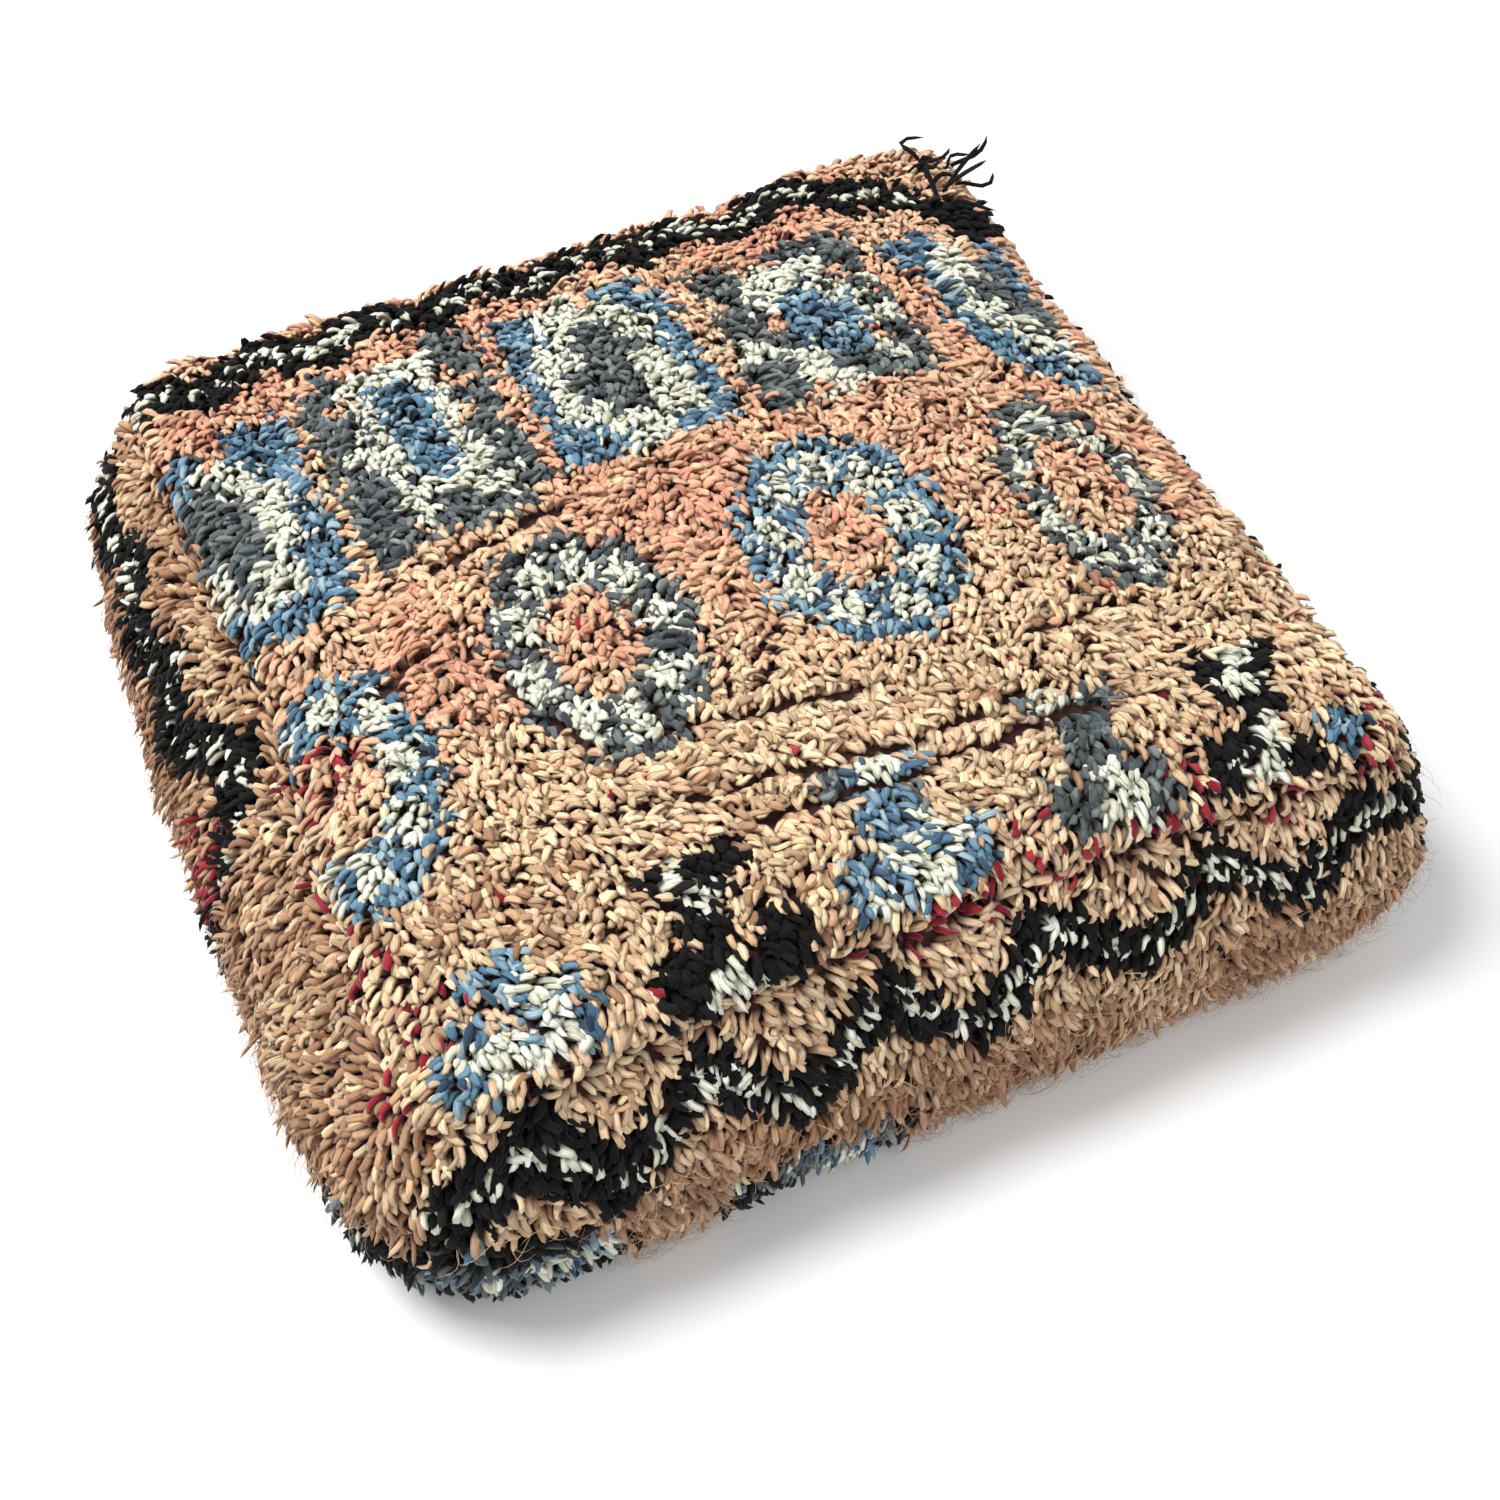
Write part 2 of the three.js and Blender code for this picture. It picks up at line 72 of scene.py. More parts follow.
# The fold runs from the left top seam slantwise across the top, and fades out.
FOLD_X = -0.27
FOLD_Y = -0.015
FOLD_SLOPE = 0.25
FOLD_WIDTH = 0.026
FOLD_DEPTH = 0.012
FOLD_END = 0.10  # how far left of the middle it has faded out
FOLD_FADE = 0.14
FOLD_FOOT = 0.10  # it lies only above this height
FOLD_RISE = 0.04

LUMP = 0.0022  # unevenness of the filling
RUMPLE = 0.006  # unevenness of the plan, as a share of it
EVEN_HEIGHT = 0.05  # below this the cushion is pressed even against the floor

GROUND_DEPTH = 0.0125  # the ground weave under the pile
GROUND_THICKNESS = 0.003

SIDES = ("front", "right", "back", "left")


def smooth(x):
    x = np.clip(x, 0.0, 1.0)
    return x * x * (3 - 2 * x)


def turned(side, x, y):
    """A place on the front side, turned to another side."""
    for _ in range(side):
        x, y = -y, x
    return x, y


def plan(side, s, half_length, half_width, radius):
    """A rounded square from above. s runs from -1 to 1 between two corners, anticlockwise."""
    half_along, half_out = (half_length, half_width) if side % 2 == 0 else (half_width, half_length)
    straight = half_along - radius
    run = np.abs(s) * (radius * math.pi / 4 + straight)
    angle = np.clip((run - straight) / radius, 0, None)
    along = np.where(run > straight, straight + radius * np.sin(angle), run) * np.sign(s)
    out = np.where(run > straight, half_out - radius * (1 - np.cos(angle)), half_out)
    return turned(side, along, -out)


def swell_at(t):
    """How much of its bulge a side has at t, from the top seam (0) to the bottom seam (1)."""
    return np.sin(math.pi * np.minimum(SWELL_RATE * t, 1))


def plain_side(side, s, t, depth):
    """A side without its slump. t runs from the top seam (0) to the bottom seam (1)."""
    s, t = np.broadcast_arrays(s, t)
    swell = swell_at(t)
    offset = SIDE_BULGE * swell + FOOT_OFFSET * t * t - depth
    x, y = plan(side, s, HALF_LENGTH + offset, HALF_WIDTH + offset, CORNER_RADIUS + offset)
    push = (1 - s * s) * (SIDE_SWELL * swell - WAIST * (1 - t) ** 2)
    out_x, out_y = turned(side, 0.0, -1.0)
    z = (SEAM_HEIGHT - depth) * (1 - t) + FOOT_HEIGHT * t
    return np.stack([x + out_x * push, y + out_y * push, z], -1)


def plain_top(u, v, depth):
    """The top panel, a patch between the four side curves, with its crown."""
    u, v = np.broadcast_arrays(u, v)
    a = ((u + 1) / 2)[..., None]
    b = ((v + 1) / 2)[..., None]

    def edge(side, s):
        return plain_side(side, s, np.zeros_like(s), depth)

    end = np.ones_like(u)
    p = edge(0, u) * (1 - b) + edge(2, -u) * b + edge(3, -v) * (1 - a) + edge(1, v) * a
    p = p - edge(0, -end) * (1 - a) * (1 - b) - edge(0, end) * a * (1 - b)
    p = p - edge(2, -end) * a * b - edge(2, end) * (1 - a) * b
    rise = np.clip((1 - u * u) * (1 - v * v), 0, None) ** CROWN_POWER
    p[..., 2] = SEAM_HEIGHT - depth + CROWN * rise
    return p


def left_slump(x, y, drop):
    """How far the left side moves to the right. drop is 0 at the top seam and 1 at the floor."""
    swell = swell_at(drop)
    across = np.clip(np.abs(y) / HALF_WIDTH, 0, 1)
    push = (1 - drop) ** 2 * (LEFT_PINCH * np.exp(-((y / PINCH_WIDTH) ** 2)))
    push = push - LEFT_SAG * swell * (1 - across**6) - LEFT_SWELL * swell * (1 - across**2)
    return smooth((-x - SLUMP_START) / SLUMP_LENGTH) * push


def lumps(x, y):
    """Waves of a few centimetres in several directions, which don't repeat over the cushion."""
    broad = np.sin(31 * x + 17 * y + 1.3) * np.sin(23 * y - 12 * x + 0.4)
    return broad + 0.6 * np.sin(52 * x - 38 * y + 2.0)


def fold_at(x, y, z):
    """How deep the fold across the top is at a place, from 0 to 1."""
    off = (y - FOLD_Y - FOLD_SLOPE * (x - FOLD_X)) / FOLD_WIDTH
    return np.exp(-(off**2)) * smooth((-x - FOLD_END) / FOLD_FADE) * smooth((z - FOLD_FOOT) / FOLD_RISE)


def settled(p):
    """Moves points of the regular form to where the used cushion has settled."""
    x, y, z = p[..., 0], p[..., 1], p[..., 2]
    drop = np.clip(1 - z / SEAM_HEIGHT, 0, 1)
    high = smooth(z / EVEN_HEIGHT)
    rumple = RUMPLE * high * (np.sin(26 * (x + y) + 40 * z) * np.sin(34 * (x - y) + 1.1))
    out = p.copy()
    out[..., 0] = x * (1 + rumple) + left_slump(x, y, drop)
    out[..., 1] = y * (1 + rumple)
    out[..., 2] = z + LUMP * lumps(x, y) * high - FOLD_DEPTH * fold_at(x, y, z)
    return out


def side_at(side, s, t, depth=0.0):
    return settled(plain_side(side, s, t, depth))


def top_at(u, v, depth=0.0):
    return settled(plain_top(u, v, depth))


def normal_of(surface, a, b, step=0.004):
    """Outward unit normals of a surface whose two parameters turn anticlockwise seen from outside."""
    along = surface(a + step, b) - surface(a - step, b)
    up = surface(a, b + step) - surface(a, b - step)
    n = np.cross(along, up)
    return n / np.linalg.norm(n, axis=-1, keepdims=True)


# ---- camera ----

AIM = Vector((-0.027, -0.098, 0.100))
VIEW_AZIMUTH = math.radians(-23.39)
VIEW_ELEVATION = math.radians(53.44)
VIEW_ROLL = math.radians(-1.27)
VIEW_DISTANCE = 1.081
LENS = 48.0
SENSOR = 36.0


def add_camera():
    data = bpy.data.cameras.new("camera")
    data.lens = LENS
    data.sensor_width = SENSOR
    data.clip_start = 0.01
    camera = bpy.data.objects.new("camera", data)
    bpy.context.scene.collection.objects.link(camera)
    turn = Matrix.Rotation(VIEW_AZIMUTH, 4, "Z") @ Matrix.Rotation(math.pi / 2 - VIEW_ELEVATION, 4, "X")
    back = Matrix.Rotation(VIEW_ROLL, 4, "Z") @ Matrix.Translation((0, 0, VIEW_DISTANCE))
    camera.matrix_world = Matrix.Translation(AIM) @ turn @ back
    bpy.context.scene.camera = camera


add_camera()

# ---- colours and materials ----


def linear(r, g, b):
    """A colour given in 0-255 sRGB, as Blender's linear RGBA."""
    found = []
    for value in (r, g, b):
        c = value / 255
        found.append(c / 12.92 if c <= 0.04045 else ((c + 0.055) / 1.055) ** 2.4)
    return (*found, 1.0)


class Nodes:
    """A short way to build one material's node tree."""

    def __init__(self, name, roughness, metallic=0.0):
        self.material = bpy.data.materials.new(name)
        self.material.use_nodes = True
        self.tree = self.material.node_tree
        self.shader = self.tree.nodes["Principled BSDF"]
        self.shader.inputs["Roughness"].default_value = roughness
        self.shader.inputs["Metallic"].default_value = metallic

    def add(self, kind, **settings):
        node = self.tree.nodes.new("ShaderNode" + kind)
        for key, value in settings.items():
            setattr(node, key, value)
        return node

    def link(self, a, b):
        self.tree.links.new(a, b)

    def attribute(self, name, output="Fac"):
        return self.add("Attribute", attribute_name=name).outputs[output]

    def ramp(self, value, *stops):
        """stops are (position, colour)."""
        node = self.add("ValToRGB")
        points = node.color_ramp.elements
        while len(points) < len(stops):
            points.new(0.5)
        for point, (position, colour) in zip(points, stops):
            point.position = position
            point.color = colour
        self.link(value, node.inputs["Fac"])
        return node.outputs["Color"]

    def noise(self, vector, scale, detail=2.0, roughness=0.5):
        node = self.add("TexNoise")
        node.inputs["Scale"].default_value = scale
        node.inputs["Detail"].default_value = detail
        node.inputs["Roughness"].default_value = roughness
        self.link(vector, node.inputs["Vector"])
        return node.outputs["Fac"]

    def place(self):
        return self.add("TexCoord").outputs["Object"]

    def span(self, value, low, high, to_low=0.0, to_high=1.0):
        """A number's range low to high, as the range to_low to to_high."""
        node = self.add("MapRange")
        for key, number in zip(("From Min", "From Max", "To Min", "To Max"), (low, high, to_low, to_high)):
            node.inputs[key].default_value = number
        self.link(value, node.inputs["Value"])
        return node.outputs["Result"]

    def put(self, socket, value):
        """Sets an input to a number or a colour, or links an output to it."""
        if isinstance(value, (int, float, tuple)):
            socket.default_value = value
        else:
            self.link(value, socket)

    def math(self, operation, a, b):
        node = self.add("Math", operation=operation)
        self.put(node.inputs[0], a)
        self.put(node.inputs[1], b)
        return node.outputs["Value"]

    def mix(self, a, b, share):
        node = self.add("Mix", data_type="RGBA")
        for socket, value in zip((node.inputs[0], node.inputs[6], node.inputs[7]), (share, a, b)):
            self.put(socket, value)
        return node.outputs[2]

    def shade(self, colour, value):
        """A colour times a number."""
        node = self.add("VectorMath", operation="SCALE")
        self.link(colour, node.inputs[0])
        self.link(value, node.inputs["Scale"])
        return node.outputs["Vector"]

    def finish(self, colour, height=None, strength=0.5, distance=0.0005):
        self.link(colour, self.shader.inputs["Base Color"])
        if height is not None:
            bump = self.add("Bump")
            bump.inputs["Strength"].default_value = strength
            bump.inputs["Distance"].default_value = distance
            self.link(height, bump.inputs["Height"])
            self.link(bump.outputs["Normal"], self.shader.inputs["Normal"])
        return self.material


WOOL_ROUGHNESS = 0.88
WOOL_SHEEN = 0.3


def wool_shader(name, sheen):
    n = Nodes(name, WOOL_ROUGHNESS)
    n.shader.inputs["Sheen Weight"].default_value = sheen
    n.shader.inputs["Sheen Roughness"].default_value = 0.4
    n.shader.inputs["Specular IOR Level"].default_value = 0.2
    return n


def wool_shading(n, colour, deep):
    """Fine fibres run along each tuft. Painted shade turns it to the deep colour towards its base and on
    its underside.
    """
    fibre = n.noise(n.attribute("fibre", "Vector"), scale=1.5, detail=3.0, roughness=0.6)
    strands = n.span(fibre, low=0.36, high=0.60, to_low=0.50)
    # painted shade: each tuft darkens towards its base, where the pile shades it
    painted_root_shade = n.span(n.attribute("along"), low=0.08, high=0.50)
    # painted shade: each tuft darkens on its underside, so only its top is bright
    under = n.span(n.attribute("crest"), low=-0.35, high=0.65, to_low=0.08)
    share = n.math("MULTIPLY", n.math("MULTIPLY", strands, painted_root_shade), under)
    return n.finish(n.mix(linear(*deep), colour, share), fibre, strength=0.7, distance=0.0010)


def wool(name, deep, dark, middle, light, sheen=WOOL_SHEEN):
    """Dyed wool. Each tuft has its own tone, and the dye has faded in patches."""
    n = wool_shader(name, sheen)
    tone = n.attribute("tone")
    colour = n.ramp(tone, (0.0, linear(*dark)), (0.5, linear(*middle)), (1.0, linear(*light)))
    fade = n.span(n.noise(n.place(), scale=9.0), low=0.3, high=0.7, to_low=0.92, to_high=1.06)
    return wool_shading(n, n.shade(colour, fade), deep)


def field_wool(name, deep):
    """The rug's field: wool whose dye drifts from tan and sand through peach to rose."""
    n = wool_shader(name, WOOL_SHEEN)
    dye = n.ramp(
        n.attribute("dye"),
        (0.0, linear(166, 126, 94)),
        (0.15, linear(204, 164, 126)),
        (0.32, linear(252, 228, 186)),
        (0.62, linear(242, 190, 154)),
        (1.0, linear(220, 140, 118)),
    )
    tone = n.span(n.attribute("tone"), low=0.0, high=1.0, to_low=0.62, to_high=1.34)
    return wool_shading(n, n.shade(dye, tone), deep)


def woven(name, dark, light, threads_per_metre, roughness=0.9, strength=0.6):
    """A plain weave with uneven threads and faint stains."""
    n = Nodes(name, roughness)
    n.shader.inputs["Sheen Weight"].default_value = 0.15
    place = n.place()
    parts = n.add("SeparateXYZ")
    n.link(place, parts.inputs[0])
    turn = math.pi * threads_per_metre
    across = n.math("SINE", n.math("MULTIPLY", parts.outputs["X"], turn), 0.0)
    upright = n.math("ADD", parts.outputs["Y"], parts.outputs["Z"])
    along = n.math("SINE", n.math("MULTIPLY", upright, turn), 0.0)
    weave = n.math("MULTIPLY", across, along)
    slub = n.noise(place, scale=90.0, detail=3.0)
    height = n.math("ADD", weave, n.math("MULTIPLY", slub, 0.8))
    share = n.span(height, low=-0.8, high=1.6)
    stain = n.span(n.noise(place, scale=7.0, detail=3.0), low=0.3, high=0.7, to_low=0.90, to_high=1.04)
    colour = n.shade(n.mix(linear(*dark), linear(*light), share), stain)
    return n.finish(colour, height, strength, distance=0.0004)


def metal(name, dark, light):
    """Metal rubbed bright in patches."""
    n = Nodes(name, roughness=0.32, metallic=1.0)
    place = n.place()
    rubbed = n.noise(place, scale=160.0, detail=4.0, roughness=0.65)
    wear = n.span(rubbed, low=0.35, high=0.65)
    colour = n.mix(linear(*dark), linear(*light), wear)
    return n.finish(colour, n.noise(place, scale=900.0), strength=0.12, distance=0.0002)


def moulded(name, dark, light):
    """Nylon, slightly cloudy."""
    n = Nodes(name, roughness=0.42)
    share = n.noise(n.place(), scale=220.0, detail=3.0)
    return n.finish(n.mix(linear(*dark), linear(*light), share), share, strength=0.1, distance=0.0002)


# Each yarn's painted shade colour, for deep in the pile at the bases and undersides of its tufts, then its
# dark, middle and light tones.
YARNS = {
    "ivory": wool("wool_ivory", (104, 98, 76), (206, 206, 182), (244, 246, 226), (255, 255, 246)),
    "blue": wool("wool_blue", (20, 32, 46), (36, 58, 82), (98, 142, 170), (188, 214, 220)),
    "charcoal": wool("wool_charcoal", (28, 30, 32), (54, 61, 66), (92, 101, 103), (152, 161, 158)),
    "black": wool("wool_black", (6, 5, 5), (9, 8, 8), (16, 14, 14), (34, 30, 29), sheen=0.04),
    "crimson": wool("wool_crimson", (60, 6, 14), (112, 14, 32), (156, 26, 46), (196, 60, 72)),
    "field": field_wool("wool_field", (112, 58, 30)),
}

# ---- meshes ----


def mesh_object(name, verts, faces, material):
    """A new smooth piece that rides on the cover."""
    mesh = bpy.data.meshes.new(name)
    mesh.from_pydata(np.asarray(verts, dtype=np.float32).reshape(-1, 3), [], faces)
    mesh.polygons.foreach_set("use_smooth", np.ones(len(mesh.polygons), dtype=bool))
    mesh.materials.append(material)
    mesh.update()
    piece = bpy.data.objects.new(name, mesh)
    bpy.context.scene.collection.objects.link(piece)
    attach(piece, "cover")
    return piece


def grid_faces(columns, rows, start, flipped):
    """Quads of a grid of (columns + 1) by (rows + 1) points, numbered from start, row by row."""
    i, j = np.meshgrid(np.arange(columns), np.arange(rows), indexing="ij")
    a = start + i * (rows + 1) + j
    quads = np.stack([a, a + rows + 1, a + rows + 2, a + 1], -1).reshape(-1, 4)
    return quads[:, ::-1] if flipped else quads


def slab(name, outer, inner, material):
    """A closed sheet between two grids of points of the same shape."""
    columns, rows = outer.shape[0] - 1, outer.shape[1] - 1
    count = (columns + 1) * (rows + 1)

    def at(i, j):
        return i * (rows + 1) + j

    rim = []
    for i in range(columns):
        rim.append((at(i + 1, 0), at(i, 0), count + at(i, 0), count + at(i + 1, 0)))
        rim.append((at(i, rows), at(i + 1, rows), count + at(i + 1, rows), count + at(i, rows)))
    for j in range(rows):
        rim.append((at(0, j), at(0, j + 1), count + at(0, j + 1), count + at(0, j)))
        rim.append((at(columns, j + 1), at(columns, j), count + at(columns, j), count + at(columns, j + 1)))
    faces = np.concatenate(
        [grid_faces(columns, rows, 0, False), grid_faces(columns, rows, count, True), np.array(rim)]
    )
    verts = np.concatenate([outer.reshape(-1, 3), inner.reshape(-1, 3)])
    return mesh_object(name, verts, faces, material)


# ---- ground weave of the five rug panels ----

GROUND_STEPS = 72  # along a panel
GROUND_ROWS = 24  # up a side
GROUND_REACH = 0.993  # of each half panel, clear of its neighbour
GROUND_HEM = 0.015  # of a side's height, clear of the seams


def top_grid(depth):
    across = np.linspace(-GROUND_REACH, GROUND_REACH, GROUND_STEPS + 1)
    u, v = np.meshgrid(across, across, indexing="ij")
    return top_at(u, v, depth)


def side_grid(side, depth):
    along = np.linspace(-GROUND_REACH, GROUND_REACH, GROUND_STEPS + 1)
    down = np.linspace(1 - GROUND_HEM, GROUND_HEM, GROUND_ROWS + 1)
    s, t = np.meshgrid(along, down, indexing="ij")
    return side_at(side, s, t, depth)


def add_ground():
    """The ground weave of each panel, by the panel's name."""
    # Partly painted shade: this is the rug's real foundation weave, but it is coloured a darker brown than
    # its red wefts so that it stands for the shade in the gaps and partings between tufts.
    weave = woven("rug_ground_weave_painted_shade", (36, 17, 13), (74, 36, 26), 240)
    inner = GROUND_DEPTH + GROUND_THICKNESS
    grids = {"top": (top_grid(GROUND_DEPTH), top_grid(inner))}
    for side, name in enumerate(SIDES):
        grids[name] = (side_grid(side, GROUND_DEPTH), side_grid(side, inner))
    return {
        name: slab(f"rug_{name}_ground", outer, under, weave)
        for name, (outer, under) in grids.items()
    }


# ---- the rug's pattern ----
# Motifs are laid out in centimetres on panels about 60 cm wide. A chart has one letter for about
# four by four knots: b blue, i ivory, c charcoal, k black, r crimson, and a dot for the field.

PANEL_HALF = 30.0
SIDE_DROP = 16.0  # of a side, from the top seam to the floor
LEFT = SIDES.index("left")
KNOT_DRIFT = 0.12  # how far the knots at a motif's edge stray
SIDE_KNOT_DRIFT = 0.10
YARN_OF = {"b": "blue", "i": "ivory", "c": "charcoal", "k": "black", "r": "crimson", ".": "field"}

BLOCKS = (
    # centre x, centre y, width, height, chart from the back row to the front row
    (-26.6, 11.8, 8.6, 17.4,
        "bb.bbb biibbb cciibb ccciib ccciib "
        "icciib iciibb biiibb bbbbb.",
    ),
    (-15.1, 14.0, 12.3, 18.8,
        ".c....cc cciiiicc c.ibbi.c ccibbicc ccibbi.c "
        "ciibbicc ccibbiic cciiiicc ccicciic cc.cccc.",
    ),
    (-1.4, 14.3, 12.0, 16.2,
        "bbii.bb. bbiiiibb biicciib biicccib biccciib "
        "biccciib biicciib bbiiiiib bbbiibbb",
    ),
    (12.6, 13.4, 12.4, 15.8,
        "cc..cccc cciiiicc .ciiii.c ccibbici cc.bbbic "
        "iicbbbii cciibb.c cciiccic cc.iiccc",
    ),
    (24.5, 9.8, 8.2, 18.0,
        "bbb... bbii.b .biicb .biccb .biicc "
        ".bbiic ..bbii ...bbi ....bb",
    ),
)

BOW_TIES = (
    (-24.0, -26.5, 8.7, 6.4, "..bbb.. ...bi.. .bb.bib biiibib bbiiiib"),
    (-11.9, -26.5, 8.8, 7.9, ".kikkk. ..kik.. ..kk... kkkk.kk kkiikkk"),
    (-0.3, -25.6, 9.3, 8.2, ".cbiib. ..bbc.. ..bbi.. bbiibib bibiibb"),
    (12.0, -25.6, 7.6, 8.2, ".ciicc. ..ccc.. ..ccc.. ccciicc cciiicc"),
    (21.6, -25.9, 7.2, 8.2, "..kkiik ..kiik. ...kkk. kkkii.. kkiikkk"),
)

RINGS = (
    # centre x, centre y, half width, half height, inner half width, inner half height, yarn, first lobe
    (-28.4, -9.3, 6.1, 8.7, 2.9, 4.2, "b", 0.3),
    (-11.3, -6.8, 6.1, 9.0, 2.8, 4.3, "c", 0.9),
    (6.1, -6.0, 6.6, 8.7, 2.7, 4.1, "b", 0.0),
    (21.8, -7.6, 4.4, 8.5, 2.4, 4.4, "c", 0.5),
)
RING_LOBES = 9


def soft_noise(x, y, cell, seed):
    """Smooth random values from -1 to 1 over a plane, with patches about one cell across."""
    table = np.random.default_rng(seed).uniform(-1, 1, (64, 64))
    column, row = np.floor(x / cell).astype(int), np.floor(y / cell).astype(int)
    right, up = smooth(x / cell - column), smooth(y / cell - row)

    def at(i, j):
        return table[i % 64, j % 64]

    low = at(column, row) * (1 - right) + at(column + 1, row) * right
    high = at(column, row + 1) * (1 - right) + at(column + 1, row + 1) * right
    return low * (1 - up) + high * up


def stamp(codes, x, y, centre_x, centre_y, width, height, chart):
    """Lays a chart over the codes. Its dots leave them as they are."""
    letters = np.array([list(row) for row in chart.split()])
    rows, columns = letters.shape
    i = np.floor((x - centre_x + width / 2) / width * columns).astype(int)
    j = np.floor((centre_y + height / 2 - y) / height * rows).astype(int)
    inside = (i >= 0) & (i < columns) & (j >= 0) & (j < rows)
    found = letters[np.clip(j, 0, rows - 1), np.clip(i, 0, columns - 1)]
    use = inside & (found != ".")
    codes[use] = found[use]


def ring(codes, x, y, centre_x, centre_y, half_width, half_height, inner_width, inner_height, yarn, turn):
    """An ellipse outlined in yarn, with ivory lobes between its outer and inner outlines."""
    outer = np.hypot((x - centre_x) / half_width, (y - centre_y) / half_height)
    inner = np.hypot((x - centre_x) / inner_width, (y - centre_y) / inner_height)
    angle = np.arctan2((y - centre_y) / half_height, (x - centre_x) / half_width)
    within = (outer < 1 + 0.05 * np.cos(RING_LOBES * angle)) & (inner > 1)
    depth = (1 - outer) / (1 - outer + 0.6 * (inner - 1) + 1e-6)
    lobe = np.cos(RING_LOBES * angle + turn) > -0.55
    codes[within] = yarn
    codes[within & lobe & (depth > 0.20) & (depth < 0.88)] = "i"


def zigzag(x, period, start):
    """From -1 in a valley to 1 at a peak, straight between them."""
    turns = (x - start) / period
    return 1 - 4 * np.abs(turns - np.floor(turns + 0.5))


def band(codes, distance, rng, half_black, half_ivory, ivory_share):
    """A black band with a broken ivory line along its middle."""
    codes[np.abs(distance) < half_black] = "k"
    codes[(np.abs(distance) < half_ivory) & (rng.random(len(distance)) < ivory_share)] = "i"


def scattered(codes, where, share, letter, rng):
    codes[where & (rng.random(len(codes)) < share)] = letter


def mixed_patch(codes, where, x, down):
    """The cut-off remains of a motif: clumps of black, charcoal, blue and ivory."""
    draw = soft_noise(x, down, 2.0, 90) + 0.4 * soft_noise(x, down, 0.8, 91)
    for letter, low, high in (("k", -9, -0.05), ("c", -0.05, 0.35), ("b", 0.35, 0.65), ("i", 0.65, 9)):
        codes[where & (draw >= low) & (draw < high)] = letter


# The band along the back of the top, which turns forward at its right end.
BACK_BAND = 26.5
BACK_BAND_TURN = 19
BACK_BAND_SLOPE = 0.62


def top_pattern(u, v, rng):
    x = u * PANEL_HALF + rng.normal(0, KNOT_DRIFT, len(u))
    y = v * PANEL_HALF + rng.normal(0, KNOT_DRIFT, len(u))
    codes = np.full(len(u), ".")
    for motif in BLOCKS + BOW_TIES:
        stamp(codes, x, y, *motif)
    for one in RINGS:
        ring(codes, x, y, *one)
    front_right_spot = np.hypot(x - 26.7, y + 28.4) < 1.3
    codes[front_right_spot] = "b"
    middle = BACK_BAND - BACK_BAND_SLOPE * np.clip(x - BACK_BAND_TURN, 0, None)
    band(codes, y - middle - 1.1 * zigzag(x, 7.6, 1.0), rng, 2.1, 0.7, 0.5)
    right_edge_mark = (x > 26.5) & (y > 17) & (y < 22)
    codes[right_edge_mark] = "k"
    scattered(codes, (y < -27.5) & (x > 0) & (codes == "."), 0.16, "r", rng)
    scattered(codes, (x < -27) & (y < -2) & (codes == "."), 0.14, "r", rng)
    scattered(codes, codes == ".", 0.0012, "r", rng)
    return codes


def left_pattern(codes, x, down, rng):
    """A band rises from the back to the middle and drops to the floor. A motif's remains lie in front."""
    rising = 5.0 - 0.9 * zigzag(x, 9.0, -18.0) - 2.2 * smooth((x + 8) / 13)
    line = np.where(x < 4, rising, 3.6 + 1.15 * (x - 4))
    inside = (x < 15) & (x > -28)
    drawn = np.full(len(x), ".")
    band(drawn, down - line, rng, 1.5, 0.8, 0.3)
    codes[inside] = drawn[inside]
    mixed_patch(codes, np.hypot((x - 28) / 9.0, (down - 15) / 7.5) < 1, x, down)
    scattered(codes, np.hypot(x - 4, down - 8) < 3.2, 0.5, "r", rng)
    scattered(codes, (down < 1.5) & (x > 0), 0.10, "r", rng)


def other_side_pattern(codes, x, down, rng):
    """A zigzag band, thicker at its left end, and two motifs' remains near the floor."""
    half_black = 1.45 + 0.7 * smooth((-x - 17) / 4)
    band(codes, down - 4.1 + 1.75 * zigzag(x, 10.4, -25.2), rng, half_black, 0.36, 0.9)
    mixed_patch(codes, np.hypot((x + 27.5) / 7.5, (down - 12.0) / 5.2) < 1, x, down)
    mixed_patch(codes, (np.abs(x + 9) < 5.5) & (down > 9.5), x, down)
    scattered(codes, (down < 1.2) & (np.abs(x + 1) < 5), 0.30, "r", rng)
    scattered(codes, (down < 1.2) & (x > 5), 0.14, "r", rng)


def side_pattern(side, s, t, rng):
    """A side's pattern. x runs from its left corner to its right one, seen from outside."""
    x = s * PANEL_HALF + rng.normal(0, SIDE_KNOT_DRIFT, len(s))
    down = t * SIDE_DROP + rng.normal(0, SIDE_KNOT_DRIFT, len(s))
    codes = np.full(len(s), ".")
    draw = left_pattern if side == LEFT else other_side_pattern
    draw(codes, x, down, rng)
    return codes


DYE_SPREAD = 0.10  # from tuft to tuft


def top_dye(u, v, rng):
    """0 is tan, 0.3 sand, 0.6 peach and 1 rose: sand towards the front, peach behind it."""
    x, y = u * PANEL_HALF, v * PANEL_HALF
    base = 0.30 + 0.30 * smooth((y + 15 + 3 * soft_noise(x, y, 9.0, 3)) / 9)
    lots = 0.11 * soft_noise(x, y, 7.0, 4) + 0.09 * soft_noise(x, y, 2.2, 5)
    return base + lots + rng.normal(0, DYE_SPREAD, len(u))


